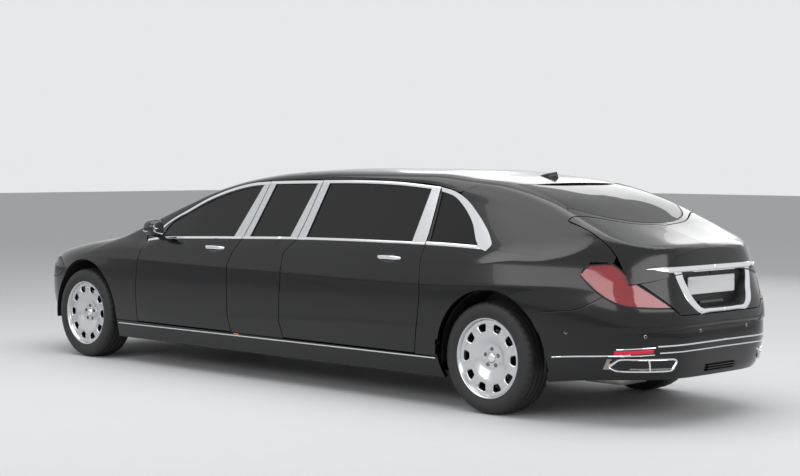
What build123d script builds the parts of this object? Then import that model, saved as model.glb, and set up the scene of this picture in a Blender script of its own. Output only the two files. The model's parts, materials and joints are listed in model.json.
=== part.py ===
from build123d import *
import math
import os

# Stretch limousine. X points forward, Y to the car's left and Z up, in millimetres.
# The origin is on the ground, below the middle of the car.

# Overall sizes
length = 6499
wheelbase = 4418
front_overhang = 876
half_width = 949.5            # over the door skins, without the mirrors
roof_z = 1575
belt_z = 1050                 # where the side windows start
body_bottom_z = 195

# Walls and gaps
door_wall = 110               # a whole door, from outer skin to inner trim
frame_wall = 46               # window frames, pillars and roof
end_wall = 70                 # nose and tail panels
lid_wall = 34                 # bonnet and boot lid
glass_wall = 5
glass_inset = 4               # glass lies this far below the outer surface
panel_gap = 7                 # shut line round each moving panel
fixed_gap = 2                 # joint between two fixed pieces
joint_gap = 1                 # between a piece and what carries it

# Running gear
tyre_radius = 364
tyre_width = 245
tyre_inset = 24               # tyre's outer side, inboard of half_width
rim_radius = 262
barrel_radius = 236
barrel_wall = 10
disc_radius = 180
disc_wall = 30
spoke_holes = 10
steer_offset = 45             # kingpin inboard of the tyre's middle
arch_clearance = 80           # arch round the tyre
front_liner_y = 462
rear_liner_y = 640
liner_wall = 4

# Lower body
sill_height = 149
sill_inner = 170              # sill depth across the car
floor_z = 200
floor_wall = 35
tunnel_half = 140
tunnel_height = 180
boot_floor_z = 400
door_bottom_gap = 6

door_slope = 0.3              # rearward lean of a door's edges, towards the outside

# Door handles, number plate, tail trims and jack pads
handle = (225, 26, 26)
handle_z = belt_z - 76
plate = (520, 110)
plate_wall = 3
plate_z = 855
trim_y = 625
trim_half = 160
trim_z = 390
trim_rise = 32
jack_pad = (90, 60, 12)

# Seats, partition and steering
seat_y = 405
seat_depth = 500
seat_back = 620
seat_thick = 130
seat_half = 245
partition_half = 25           # half the partition's thickness
steering_radius = 185
column_angle = 24

nose_x = length / 2
tail_x = -length / 2
front_axle_x = nose_x - front_overhang
rear_axle_x = front_axle_x - wheelbase
sill_top_z = body_bottom_z + sill_height
door_bottom_z = sill_top_z + door_bottom_gap
tyre_y = half_width - tyre_inset - tyre_width / 2
arch_radius = tyre_radius + arch_clearance
window_rise = roof_z - belt_z
plate_x = tail_x + 118
jack_y = half_width - 130
jack_places = [front_axle_x - 640, rear_axle_x + 640]
seat_base_z = floor_z + floor_wall + joint_gap
partition_x = front_axle_x - 2185
steering_place = (front_axle_x - 1260, seat_y, belt_z - 140)
wide = 3 * half_width         # cutting pieces reach past the body
tall = 2 * roof_z


def block(low, high):
    size = [b - a for a, b in zip(low, high)]
    middle = [(a + b) / 2 for a, b in zip(low, high)]
    return Pos(*middle) * Box(*size)


def prism(corners, direction):
    face = Face(Wire.make_polygon([Vector(*corner) for corner in corners]))
    return Solid.extrude(face, Vector(*direction))


def across(outline, y0, y1):
    # An XZ outline carried across the car.
    return prism([(x, y0, z) for x, z in outline], (0, y1 - y0, 0))


def upright(outline, z0, z1):
    # An XY outline carried upwards.
    return prism([(x, y, z0) for x, y in outline], (0, 0, z1 - z0))


def along(outline, x0, x1):
    # A YZ outline carried along the car.
    return prism([(x0, y, z) for y, z in outline], (x1 - x0, 0, 0))


def grow(outline, gap):
    # Moves each edge of an outline outwards by the gap, inwards if it is negative.
    area = sum(a[0] * b[1] - b[0] * a[1] for a, b in zip(outline, outline[1:] + outline[:1]))
    side = math.copysign(gap, area) if gap >= 0 else -math.copysign(gap, area)
    count = len(outline)
    lines = []
    for i in range(count):
        (ax, ay), (bx, by) = outline[i], outline[(i + 1) % count]
        run = math.hypot(bx - ax, by - ay)
        ux, uy = (bx - ax) / run, (by - ay) / run
        lines.append((ax + uy * side, ay - ux * side, ux, uy))
    moved = []
    for i in range(count):
        px, py, ux, uy = lines[i - 1]
        qx, qy, vx, vy = lines[i]
        cross = ux * vy - uy * vx
        if abs(cross) < 1e-6:
            moved.append((qx, qy))
            continue
        t = ((qx - px) * vy - (qy - py) * vx) / cross
        moved.append((px + ux * t, py + uy * t))
    return moved


def mirrored(outline):
    # Completes an outline given for +Y, from centre line to centre line.
    return outline + [(x, -y) for x, y in reversed(outline) if abs(y) > 0.1]


def both_sides(piece):
    return [piece, mirror(piece, Plane.XZ)]


def solids_of(shape):
    pieces = shape if isinstance(shape, (list, tuple)) else [shape]
    return [solid for piece in pieces for solid in piece.solids()]


# Lower body: each level moves the same corner curve inwards.
# z, in from the side, back from the nose, in from the tail
levels = [
    (body_bottom_z, 70, 130, 130),
    (340, 25, 35, 30),
    (520, 6, 0, 0),
    (700, 0, 12, 18),
    (830, 4, 66, 62),
    (960, 28, 160, 90),
    (belt_z + 30, 72, 280, 110),
    (belt_z + 120, 120, 360, 150),
]
corner_start = 1000           # the sides are straight this far from the middle
corner_angles = [4, 20, 38, 53, 65, 73, 79]
front_powers = (8, 4)
rear_powers = (8.5, 3.1)


def corner_points(reach, powers):
    # Superellipse quarter from the side round to the nose or tail.
    points = []
    widest = math.sin(math.radians(corner_angles[-1]))
    for angle in corner_angles:
        turn = math.radians(angle)
        x = reach * (math.sin(turn) / widest) ** (2 / powers[0])
        y = half_width * math.cos(turn) ** (2 / powers[1])
        points.append((x, y))
    return points


def level_wire(level, inset, end_inset, z):
    side_in, nose_in, tail_in = level[1:]
    side = side_in + inset
    front = [(x - nose_in - end_inset, y - side) for x, y in corner_points(nose_x, front_powers)]
    rear = [(-x + tail_in + end_inset, y - side) for x, y in corner_points(-tail_x, rear_powers)]
    start = [(corner_start, half_width - side), (-corner_start, half_width - side)]
    left = list(reversed(front)) + start + rear
    ring = left + [(x, -y) for x, y in reversed(left)]
    return Wire.make_polygon([Vector(x, y, z) for x, y in ring])


def skin_y(z):
    # Half width of the door skins at a height.
    rows = [(level[0], half_width - level[1]) for level in levels[:6]] + side_window_line
    for (z0, y0), (z1, y1) in zip(rows, rows[1:]):
        if z <= z1:
            return y0 + (y1 - y0) * (z - z0) / (z1 - z0)
    return rows[-1][1]


cabin_lift = 70               # lower body's middle, above the belt along the cabin
form_lap = 150                # front and rear forms run this far past the middle

# Top of the bonnet and boot along the centre line
bonnet_line = [
    (nose_x + 20, 770),
    (nose_x - 130, 815),
    (nose_x - 350, 885),
    (nose_x - 650, 950),
    (front_axle_x - 70, 1000),
    (front_axle_x - 470, belt_z),
    (front_axle_x - 700, belt_z),
    (front_axle_x - 930, belt_z + cabin_lift),
    (-form_lap, belt_z + cabin_lift),
]
deck_line = [
    (form_lap, belt_z + cabin_lift),
    (rear_axle_x - 300, belt_z + 70),
    (rear_axle_x - 700, belt_z + 88),
    (tail_x + 250, belt_z + 62),
    (tail_x + 80, belt_z + 36),
    (tail_x - 20, belt_z + 10),
]
# y, drop below the centre line
bonnet_crown = [(0, 0), (350, 7), (620, 22), (800, 45), (1000, 110)]
deck_crown = [(0, 0), (300, 10), (560, 45), (720, 85), (1000, 190)]


def top_form(line, crown, drop):
    ends = [(line[-1][0], -tyre_radius), (line[0][0], -tyre_radius)]
    wires = []
    for side in (-1, 1):
        for y, down in (reversed(crown) if side < 0 else crown[1:]):
            ring = [(x, z - down - drop) for x, z in line] + ends
            wires.append(Wire.make_polygon([Vector(x, side * y, z) for x, z in ring]))
    return Solid.make_loft(wires, True)


# Greenhouse: one half section from the roof's middle to the belt, lowered and
# narrowed at each station. Shares are of the window rise.
cant_drop = 0.183             # of the window rise, down to the door frames
belt_y = half_width - 64.5
cant_y = half_width - 289.5
lean = (belt_y - cant_y) / (window_rise * (1 - cant_drop))
side_window_line = [(belt_z, belt_y), (roof_z - window_rise * cant_drop, cant_y)]
roof_section = [
    (250, 0),
    (half_width - 469.5, -8),
    (half_width - 349.5, -22),
    (half_width - 304.5, -55),
    (cant_y, -window_rise * cant_drop),
    (belt_y + 120 * lean, -window_rise - 120),
]
# x, share of the window rise lost, narrowing
stations = [
    (front_axle_x - 443, 1.01, 50),
    (front_axle_x - 1173, 0.467, 8),
    (front_axle_x - 1423, 0.295, 0),
    (front_axle_x - 1783, 0.133, 0),
    (front_axle_x - 2223, 0.038, 0),
    (front_axle_x - 2773, 0.0, 0),
    (rear_axle_x + 804, 0.01, 0),
    (rear_axle_x + 414, 0.072, 6),
    (rear_axle_x + 194, 0.11, 14),
    (rear_axle_x - 36, 0.192, 30),
    (rear_axle_x - 266, 0.316, 52),
    (rear_axle_x - 596, 0.579, 92),
    (rear_axle_x - 846, 0.796, 135),
]


def greenhouse(inset):
    wires = []
    for x, lost, narrow in stations:
        drop = lost * window_rise
        half = []
        for y, z in roof_section:
            half.append((y + lean * drop - narrow - inset * (y > 260), roof_z + z - drop - inset))
        ring = half + [(-y, z) for y, z in reversed(half)]
        wires.append(Wire.make_polygon([Vector(x, y, z) for y, z in ring]))
    return Solid.make_loft(wires, True)


greenhouse_base = belt_z - 60


def body_form(side, end, top, roof, base, bottom):
    # The whole body as one closed form, drawn in by these four walls.
    heights = [bottom] + [level[0] for level in levels[1:]]
    wires = [level_wire(level, side, end, z) for level, z in zip(levels, heights)]
    hull = Solid.make_loft(wires, True)
    front = hull & top_form(bonnet_line, bonnet_crown, top)
    rear = hull & top_form(deck_line, deck_crown, top)
    upper = greenhouse(roof) & block((-length, -wide, base), (length, wide, tall))
    return front + rear + upper


outer = body_form(0, 0, 0, 0, greenhouse_base, body_bottom_z)
inner = body_form(door_wall, end_wall, lid_wall, frame_wall, greenhouse_base - 60, 0)
glass_outer = greenhouse(glass_inset)
glass_inner = greenhouse(glass_inset + glass_wall)


def shell(tool):
    return (outer & tool) - inner


def glass(tool):
    return (glass_outer & tool) - glass_inner


# Side outlines. Heights above the belt are shares of the window rise.
def up(share):
    return belt_z + share * window_rise


door_front_x = front_axle_x - 733
door_rear_x = front_axle_x - 1855
rear_door_front_x = rear_axle_x + 1974
rear_door_rear_x = rear_axle_x + 573

front_door_outline = [
    (door_front_x, door_bottom_z),
    (door_front_x, 560),
    (door_front_x - 29, 820),
    (door_front_x - 100, belt_z - 53),
    (door_front_x - 240, up(0.143)),
    (door_front_x - 480, up(0.385)),
    (door_front_x - 680, up(0.56)),
    (door_front_x - 900, up(0.695)),
    (door_front_x - 1135, up(0.781)),
    (door_rear_x - 191, up(0.804)),
    (door_rear_x - 117, belt_z + 8),
    (door_rear_x - 33, 921),
    (door_rear_x, 820),
    (door_rear_x, 518),
    (door_rear_x - 29, door_bottom_z),
]
rear_door_outline = [
    (rear_door_front_x - 28, door_bottom_z),
    (rear_door_front_x, 482),
    (rear_door_front_x - 21, 817),
    (rear_door_front_x - 24, 945),
    (rear_door_front_x - 125, belt_z + 25),
    (rear_door_front_x - 175, up(0.834)),
    (rear_door_front_x - 530, up(0.842)),
    (rear_door_rear_x + 456, up(0.827)),
    (rear_door_rear_x + 55, up(0.773)),
    (rear_door_rear_x + 17, belt_z + 30),
    (rear_door_rear_x + 19, 975),
    (rear_door_rear_x, 764),
    (rear_door_rear_x + 26, 547),
    (rear_door_rear_x + 61, door_bottom_z),
]
front_window = [
    (door_front_x - 250, belt_z - 18),
    (door_front_x - 300, up(0.125)),
    (door_front_x - 492, up(0.328)),
    (door_front_x - 688, up(0.501)),
    (door_front_x - 905, up(0.634)),
    (door_front_x - 1135, up(0.718)),
    (door_rear_x - 123, up(0.735)),
    (door_rear_x - 12, belt_z + 12),
]
centre_window = [
    (door_rear_x - 197, belt_z + 12),
    (door_rear_x - 262, up(0.766)),
    (rear_door_front_x - 120, up(0.785)),
    (rear_door_front_x - 39, belt_z + 22),
]
rear_window_outline = [
    (rear_door_front_x - 214, belt_z + 30),
    (rear_door_front_x - 247, up(0.788)),
    (rear_door_front_x - 530, up(0.792)),
    (rear_door_rear_x + 456, up(0.777)),
    (rear_door_rear_x + 139, up(0.743)),
    (rear_door_rear_x + 149, belt_z + 36),
]
quarter_window = [
    (rear_door_rear_x - 18, belt_z + 31),
    (rear_door_rear_x + 30, up(0.714)),
    (rear_door_rear_x - 93, up(0.657)),
    (rear_door_rear_x - 209, up(0.531)),
    (rear_door_rear_x - 333, up(0.328)),
    (rear_door_rear_x - 430, belt_z + 30),
]
outside_y = half_width + 60
roof_seam_y = half_width - 369.5
front_handle_x = door_rear_x + 168
rear_handle_x = rear_door_rear_x + 312


def door_tool(outline, gap):
    # The cut round a door, leaning rearwards towards the outside.
    leaned = []
    for x, z in grow(outline, gap):
        leaned.append((x + door_slope * (skin_y(z) - outside_y), z))
    depth = outside_y - roof_seam_y - 10
    corners = [(x, outside_y, z) for x, z in leaned]
    return prism(corners, (door_slope * depth, -depth, 0))


def door_cuts(gap):
    return door_tool(front_door_outline, gap) + door_tool(rear_door_outline, gap)


def window_tool(outline, gap=0):
    return across(grow(outline, gap), 0.35 * half_width, outside_y)


# Bonnet and boot lid outlines, seen from above
bonnet_side = half_width - 205
bonnet_rear = [
    (front_axle_x - 398, 0),
    (front_axle_x - 445, 350),
    (front_axle_x - 575, 620),
    (front_axle_x - 653, bonnet_side),
]
bonnet_front = [
    (nose_x - 420, bonnet_side - 60),
    (nose_x - 215, bonnet_side - 190),
    (nose_x - 150, 350),
    (nose_x - 132, 0),
]
bonnet_slope = 0.25
bonnet_low_z = 700


def bonnet_tool(gap):
    ahead = [(nose_x + 300, bonnet_side - 60), (nose_x + 300, 0)]
    whole = upright(grow(mirrored(bonnet_rear + ahead), gap), bonnet_low_z, roof_z)
    behind = [(front_axle_x - 900, 0), (front_axle_x - 900, wide)]
    corners = []
    for x, y in grow(mirrored(behind + [(nose_x - 420, wide)] + bonnet_front), gap):
        corners.append((x + bonnet_slope * (roof_z - 850), y, roof_z))
    depth = roof_z - bonnet_low_z
    return whole & prism(corners, (-bonnet_slope * depth, 0, -depth))


lid_side = half_width - 249.5
lid_front = [
    (rear_axle_x - 730, 0),
    (rear_axle_x - 675, 300),
    (rear_axle_x - 500, lid_side - 40),
    (rear_axle_x - 486, lid_side),
]
lid_top_z = belt_z - 60
lid_bottom_z = 690
lid_face_x = tail_x + 310
lid_face = [
    (0, lid_bottom_z),
    (440, lid_bottom_z),
    (484, 735),
    (lid_side - 32, 905),
    (lid_side, lid_top_z - 20),
    (lid_side, roof_z),
    (0, roof_z),
]


def mirrored_face(face):
    return face + [(-y, z) for y, z in reversed(face) if y > 0.1]


def lid_tool(gap):
    plan = grow(mirrored(lid_front + [(tail_x - 200, lid_side), (tail_x - 200, 0)]), gap)
    top = upright(plan, lid_top_z - gap, roof_z)
    face = grow(mirrored_face(lid_face), gap)
    return top + along(face, tail_x - 300, lid_face_x + gap)


# Glass outlines seen from above
windscreen_plan = [
    (front_axle_x - 452, 0),
    (front_axle_x - 490, 350),
    (front_axle_x - 590, 600),
    (front_axle_x - 700, 735),
    (front_axle_x - 1380, 585),
    (front_axle_x - 1350, 300),
    (front_axle_x - 1340, 0),
]
backlight_plan = [
    (rear_axle_x - 60, 0),
    (rear_axle_x - 40, 300),
    (rear_axle_x + 60, 545),
    (rear_axle_x - 400, 600),
    (rear_axle_x - 560, 430),
    (rear_axle_x - 655, 200),
    (rear_axle_x - 680, 0),
]
roof_front_x = front_axle_x - 1390
roof_rear_x = rear_axle_x + 10
arch_shift = 20               # rear arches sit behind their axle


def arch(axle_x, radius, y0):
    tube = Cylinder(radius, wide - y0, align=(Align.CENTER, Align.CENTER, Align.MIN))
    return Pos(axle_x, y0, tyre_radius) * Rot(-90, 0, 0) * tube


front_arch = arch(front_axle_x, arch_radius, front_liner_y - liner_wall)
rear_arch = arch(rear_axle_x - arch_shift, arch_radius, rear_liner_y - liner_wall)

doors_open = door_cuts(panel_gap)
bonnet_open = bonnet_tool(panel_gap)
lid_open = lid_tool(panel_gap)
screen_open = upright(mirrored(windscreen_plan), belt_z - 90, tall)
backlight_open = upright(mirrored(backlight_plan), belt_z - 90, tall)


def roof_cut(gap):
    low = (roof_rear_x - gap, -roof_seam_y - gap, belt_z)
    high = (roof_front_x + gap, roof_seam_y + gap, tall)
    return block(low, high)


# Lamp outlines on the body's side
headlamp_outline = [
    (nose_x - 535, 735),
    (nose_x - 450, 800),
    (nose_x - 250, 790),
    (nose_x + 60, 760),
    (nose_x + 60, 640),
    (nose_x - 300, 636),
    (nose_x - 450, 662),
]
headlamp_inner_y = 470
tail_lamp_outline = [
    (tail_x + 518, 938),
    (tail_x + 486, 990),
    (tail_x + 346, 1006),
    (tail_x - 50, 1006),
    (tail_x - 50, 735),
    (tail_x + 195, 745),
    (tail_x + 268, 760),
    (tail_x + 370, 812),
]
tail_lamp_inner_y = 420
lamp_depth = 60
front_bumper_outline = [
    (nose_x - 470, body_bottom_z - 5),
    (nose_x - 470, 628),
    (nose_x - 300, 628),
    (nose_x + 60, 632),
    (nose_x + 60, body_bottom_z - 5),
]
rear_bumper_outline = [
    (tail_x + 890, 245),
    (tail_x + 890, 676),
    (tail_x + 495, 730),
    (tail_x + 372, 800),
    (tail_x + 268, 752),
    (tail_x + 195, 737),
    (tail_x - 50, 727),
    (tail_x - 50, 290),
    (tail_x + 290, 290),
]
grille_face = [(0, 792), (430, 792), (452, 600), (360, 420), (0, 420)]
grille_depth = 220


def lamp_tool(outline, inner_y, gap):
    return across(grow(outline, gap), inner_y - gap, wide)


head_open = lamp_tool(headlamp_outline, headlamp_inner_y, fixed_gap)
tail_open = lamp_tool(tail_lamp_outline, tail_lamp_inner_y, fixed_gap)


def front_bumper_tool(gap):
    return across(grow(front_bumper_outline, gap), -wide, wide)


def rear_bumper_tool(gap):
    return across(grow(rear_bumper_outline, gap), -wide, wide)


def grille_tool(gap):
    face = grow(mirrored_face(grille_face), gap)
    return along(face, nose_x - grille_depth, nose_x + 60)


def largest(shape):
    # The panel itself, without slivers that the cuts leave beside it.
    return max(shape.solids(), key=lambda solid: solid.volume)


def front_wing():
    low = (door_front_x - 200, 250, sill_top_z + fixed_gap)
    high = (nose_x + 60, wide, belt_z + 20)
    wing = shell(block(low, high))
    wing = wing - doors_open - bonnet_open - front_arch - head_open
    wing = wing - front_bumper_tool(fixed_gap) - grille_tool(fixed_gap)
    wing = wing - scuttle_tool(fixed_gap) - rail_tool(fixed_gap)
    return both_sides(largest(wing))


def scuttle_tool(gap):
    low = (front_axle_x - 760 - gap, -bonnet_side - gap, belt_z - 140)
    high = (front_axle_x - 380 + gap, bonnet_side + gap, belt_z + 120)
    return block(low, high)


def scuttle():
    panel = shell(scuttle_tool(0)) - bonnet_open - screen_open
    panel = panel - doors_open - mirror(doors_open, Plane.XZ)
    return largest(panel)


def centre_panel():
    low = (rear_door_front_x - 250, 250, sill_top_z + fixed_gap)
    high = (door_rear_x + 60, wide, roof_z)
    panel = shell(block(low, high)) - doors_open - window_tool(centre_window)
    panel = panel - rail_tool(fixed_gap) - roof_cut(fixed_gap)
    return both_sides(largest(panel))


rail_outline = [
    (front_axle_x - 500, belt_z - 60),
    (door_front_x - 240, up(0.143)),
    (door_front_x - 1135, up(0.825)),
    (door_rear_x - 191, up(0.826)),
    (rear_door_rear_x + 456, up(0.848)),
    (rear_door_rear_x + 55, up(0.81)),
    (rear_door_rear_x - 40, up(0.79)),
    (rear_door_rear_x - 40, roof_z + 20),
    (front_axle_x - 500, roof_z + 20),
]


def rail_tool(gap):
    return across(grow(rail_outline, gap), 250, wide)


def roof_rail():
    rail = shell(rail_tool(0)) - doors_open - screen_open - backlight_open - roof_cut(fixed_gap)
    rail = rail - scuttle_tool(fixed_gap) - bonnet_open
    return both_sides(largest(rail))


def quarter_panel():
    low = (tail_x - 20, 250, sill_top_z + fixed_gap)
    high = (rear_door_rear_x + 200, wide, roof_z)
    panel = shell(block(low, high)) - doors_open - rail_tool(fixed_gap) - roof_cut(fixed_gap)
    panel = panel - backlight_open - lid_open - tail_open - rear_bumper_tool(fixed_gap)
    panel = panel - rear_arch - window_tool(quarter_window)
    return both_sides(largest(panel))


def sill():
    low = (rear_axle_x + 100, half_width - sill_inner, body_bottom_z)
    high = (front_axle_x - 100, wide, sill_top_z)
    side = (outer & block(low, high)) - front_arch - rear_arch
    for x in jack_places:
        low = (x - jack_pad[0] / 2, jack_y - jack_pad[1] / 2, body_bottom_z - jack_pad[2])
        high = (x + jack_pad[0] / 2, jack_y + jack_pad[1] / 2, body_bottom_z + 1)
        side = side + block(low, high)
    return both_sides(side)


def roof_panel():
    # The panel with the aerial fin behind its middle.
    panel = largest(shell(roof_cut(0)) - screen_open - backlight_open)
    fin_x = rear_axle_x + 240
    fin_low = roof_z - 75
    fin = [
        (fin_x + 75, fin_low),
        (fin_x + 60, fin_low + 28),
        (fin_x - 60, roof_z - 2),
        (fin_x - 80, fin_low),
    ]
    return panel + across(fin, -18, 18)


def door(outline, window, handle_x):
    panel = shell(door_tool(outline, 0)) - window_tool(window)
    panel = panel - block((-length, -wide, 0), (length, wide, door_bottom_z))
    panel = largest(panel)
    low = (handle_x - handle[0] / 2, skin_y(handle_z) - 12, handle_z - handle[2] / 2)
    high = (handle_x + handle[0] / 2, skin_y(handle_z) + handle[1], handle_z + handle[2] / 2)
    return panel + block(low, high)


def mirror_shell():
    # Door mirror on a short foot at the front corner of the window.
    foot_x = door_front_x - 330
    y0 = belt_y + 16
    foot = block((foot_x - 45, y0, belt_z - 18), (foot_x + 45, y0 + 75, belt_z + 12))
    case = block((foot_x - 75, y0 + 42, belt_z - 20), (foot_x + 105, y0 + 172, belt_z + 118))
    case = fillet(case.edges().filter_by(Axis.X), 30)
    case = fillet(case.edges().group_by(Axis.X)[-1], 26)
    return foot + case


def bonnet():
    panel = shell(bonnet_tool(0)) - screen_open
    return largest(panel)


def boot_lid():
    # The lid with its number plate standing in a recess.
    panel = largest(shell(lid_tool(0)) - backlight_open)
    half, rise = plate[0] / 2, plate[1] / 2
    panel = panel - block((tail_x - 50, -half - 40, plate_z - 85), (plate_x, half + 40, plate_z + 70))
    low = (plate_x - plate_wall, -half, plate_z - rise)
    return panel + block(low, (plate_x + 1, half, plate_z + rise))


def front_bumper():
    bumper = shell(front_bumper_tool(0)) - front_arch - mirror(front_arch, Plane.XZ)
    bumper = bumper - grille_tool(fixed_gap) - head_open - mirror(head_open, Plane.XZ)
    for y0, y1 in ((-300, 300), (420, 700), (-700, -420)):
        bumper = bumper - block((nose_x - 400, y0, 262), (nose_x + 60, y1, 372))
    return largest(bumper)


def rear_bumper():
    bumper = shell(rear_bumper_tool(0)) - rear_arch - mirror(rear_arch, Plane.XZ) - lid_open
    bumper = bumper - tail_open - mirror(tail_open, Plane.XZ)
    for side in (-1, 1):
        bumper = bumper - trim_block(side, fixed_gap, tail_x + 900)
    return largest(bumper)


def tail_lamp():
    lamp = (outer & lamp_tool(tail_lamp_outline, tail_lamp_inner_y, 0)) - inner - lid_open
    return both_sides(largest(lamp))


def headlamp():
    lamp = (outer & lamp_tool(headlamp_outline, headlamp_inner_y, 0)) - inner - bonnet_open
    lamp = lamp - grille_tool(fixed_gap)
    return both_sides(largest(lamp))


def grille():
    # An upright surround with level bars.
    body = shell(grille_tool(0)) - bonnet_open
    body = largest(body)
    low_z, high_z = 470, 745
    rows = 5
    pitch = (high_z - low_z) / rows
    for row in range(rows):
        z0 = low_z + row * pitch
        body = body - block((nose_x - 400, -330, z0 + 16), (nose_x + 60, 330, z0 + pitch))
    return largest(body)


def windscreen():
    pane = grow(mirrored(windscreen_plan), -fixed_gap)
    piece = glass(upright(pane, belt_z - 80, tall)) - scuttle_tool(fixed_gap) - bonnet_open
    return largest(piece)


def backlight():
    pane = grow(mirrored(backlight_plan), -fixed_gap)
    piece = glass(upright(pane, belt_z + 20, tall)) - lid_open
    return largest(piece)


def side_glass(outline):
    return largest(glass(window_tool(outline, -fixed_gap)))


def fixed_side_windows():
    return both_sides(side_glass(centre_window)) + both_sides(side_glass(quarter_window))


def floor_pan():
    # Flat floor with a raised tunnel, an engine tray and a boot tub.
    edge = half_width - sill_inner - joint_gap
    top = floor_z + floor_wall
    roof = floor_z + tunnel_height
    above = [(edge, top), (tunnel_half, top), (tunnel_half - 25, roof)]
    below = [(edge, floor_z), (tunnel_half - 25, floor_z), (tunnel_half - 50, roof - 25)]
    section = above + [(-y, z) for y, z in reversed(above)]
    section = section + [(-y, z) for y, z in below] + list(reversed(below))
    front_x = front_axle_x - arch_radius - 10
    rear_x = rear_axle_x - arch_shift + arch_radius + 10
    pan = along(section, rear_x, front_x)
    tray_half = front_liner_y - 30
    tray = block((front_x, -tray_half, floor_z), (nose_x - 240, tray_half, floor_z + 16))
    back_half = rear_liner_y - 30
    step = block((rear_x - 16, -back_half, floor_z), (rear_x, back_half, boot_floor_z + 16))
    step = step - block((rear_x - 40, -tunnel_half - 10, 0), (rear_x + 40, tunnel_half + 10, roof - 12))
    tub = block((tail_x + 430, -back_half, boot_floor_z), (rear_x, back_half, boot_floor_z + 16))
    return pan + tray + step + tub


def wheel_liner(axle_x, inner_y):
    # Arch liner above the wheel, open below and outside.
    outside = half_width - 60
    radius = arch_radius - joint_gap
    tube = arch(axle_x, radius, inner_y) - arch(axle_x, radius - liner_wall, inner_y + liner_wall)
    low = (axle_x - 900, inner_y - 1, tyre_radius - 60)
    arm_room = block((axle_x - 150, 0, 0), (axle_x + 150, inner_y + 20, tyre_radius + 140))
    return (tube & block(low, (axle_x + 900, outside, tall))) - arm_room


def wheel_liners():
    front = wheel_liner(front_axle_x, front_liner_y)
    rear = wheel_liner(rear_axle_x - arch_shift, rear_liner_y)
    return both_sides(front) + both_sides(rear)


def bulkheads():
    # Engine bulkhead ahead of the feet, and the wall and shelf behind the rear seats.
    wall_x = front_axle_x - 650
    half = half_width - 200
    front = block((wall_x - 20, -half, floor_z + floor_wall + 1), (wall_x, half, belt_z - 150))
    front = front - along([(-190, 0), (-190, 430), (190, 430), (190, 0)], wall_x - 40, wall_x + 20)
    back_x = rear_axle_x - 250
    shelf_z = belt_z + 5
    low = boot_floor_z + 17
    back = block((back_x - 16, -600, low), (back_x, 600, shelf_z + 14))
    shelf = block((rear_axle_x - 410, -560, shelf_z), (back_x + 60, 560, shelf_z + 14))
    return [front, back + shelf]


def dashboard():
    x0 = front_axle_x - 1140
    outline = [
        (x0, belt_z - 190),
        (x0 - 40, belt_z - 120),
        (x0 + 10, belt_z - 50),
        (x0 + 120, belt_z - 30),
        (x0 + 450, belt_z - 45),
        (x0 + 450, belt_z - 240),
        (x0 + 120, belt_z - 330),
    ]
    half = half_width - 190
    body = across(outline, -half, half)
    stub = wheel_frame() * (Pos(0, 0, -105) * Cylinder(26, 130))
    return body + (stub - block((-length, -wide, 0), (x0 - 60, wide, tall)))


def wheel_frame():
    # Local Z runs up the steering column, towards the driver.
    x, y, z = steering_place
    return Pos(x, y, z) * Rot(0, -(90 - column_angle), 0)


def steering_wheel():
    rim = Torus(steering_radius, 15)
    boss = Pos(0, 0, -14) * Cylinder(48, 34)
    wheel = rim + boss
    for angle in (0, 180, 270):
        bar = Pos(steering_radius / 2, 0, -6) * Box(steering_radius - 6, 34, 12)
        wheel = wheel + Rot(0, 0, angle + 90) * bar
    return wheel_frame() * wheel


def seat(front_x, facing, y, half, base_z, cushion, back_tilt):
    # Cushion, backrest and headrest, drawn in XZ and carried across.
    depth, back, thick = seat_depth, seat_back, seat_thick
    outline = [
        (0, base_z),
        (0, base_z + cushion - 20),
        (-40, base_z + cushion),
        (-depth + 60, base_z + cushion - 30),
        (-depth - back * back_tilt, base_z + cushion + back),
        (-depth - back * back_tilt - thick * 0.7, base_z + cushion + back - 20),
        (-depth - thick, base_z + 40),
        (-depth - thick + 40, base_z),
    ]
    body = across([(front_x + facing * x, z) for x, z in outline], y - half, y + half)
    head_x = front_x + facing * (-depth - back * back_tilt - thick * 0.3)
    head_z = base_z + cushion + back
    post = block((head_x - 30, y - 60, head_z - 60), (head_x + 30, y + 60, head_z + 60))
    head = block((head_x - 45, y - 130, head_z + 40), (head_x + 45, y + 130, head_z + 190))
    return body + post + fillet(head.edges(), 25)


def front_seats():
    front_x = front_axle_x - 1400
    left = seat(front_x, 1, seat_y, seat_half, seat_base_z + 50, 210, 0.22)
    rail_x = front_x - seat_depth / 2
    low = (rail_x - 180, seat_y - 170, seat_base_z)
    return both_sides(left + block(low, (rail_x + 180, seat_y + 170, seat_base_z + 60)))


def cabin_seats():
    # A pair against the partition facing rearwards, and a pair over the rear floor.
    tilt = 0.1
    reach = seat_depth + seat_back * tilt + seat_thick * 0.7 + 12
    front_x = partition_x - partition_half - reach
    facing = seat(front_x, -1, seat_y, seat_half, seat_base_z + 50, 210, tilt)
    foot_x = front_x + seat_depth / 2
    low = (foot_x - 180, seat_y - 170, seat_base_z)
    facing = facing + block(low, (foot_x + 180, seat_y + 170, seat_base_z + 60))
    base_z = boot_floor_z + 16 + joint_gap
    rear_x = rear_axle_x + 640
    rear = seat(rear_x, 1, 350, seat_half, base_z, 150, 0.22)
    return both_sides(facing) + both_sides(rear)


def partition_wall():
    # Wall behind the front seats, notched over the tunnel, with a window above.
    half = half_width - sill_inner - 2 * joint_gap
    x0, x1 = partition_x - partition_half, partition_x + partition_half
    lower = block((x0, -half, seat_base_z), (x1, half, belt_z + 1))
    upper = greenhouse(frame_wall + 4) & block((x0, -half + 20, belt_z), (x1, half - 20, roof_z))
    wall = lower + upper
    wall = wall - block((x0 - 10, -half + 160, belt_z + 10), (x1 + 10, half - 160, belt_z + 320))
    notch = tunnel_half + joint_gap
    return wall - block((x0 - 10, -notch, 0), (x1 + 10, notch, floor_z + tunnel_height + joint_gap))


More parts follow.
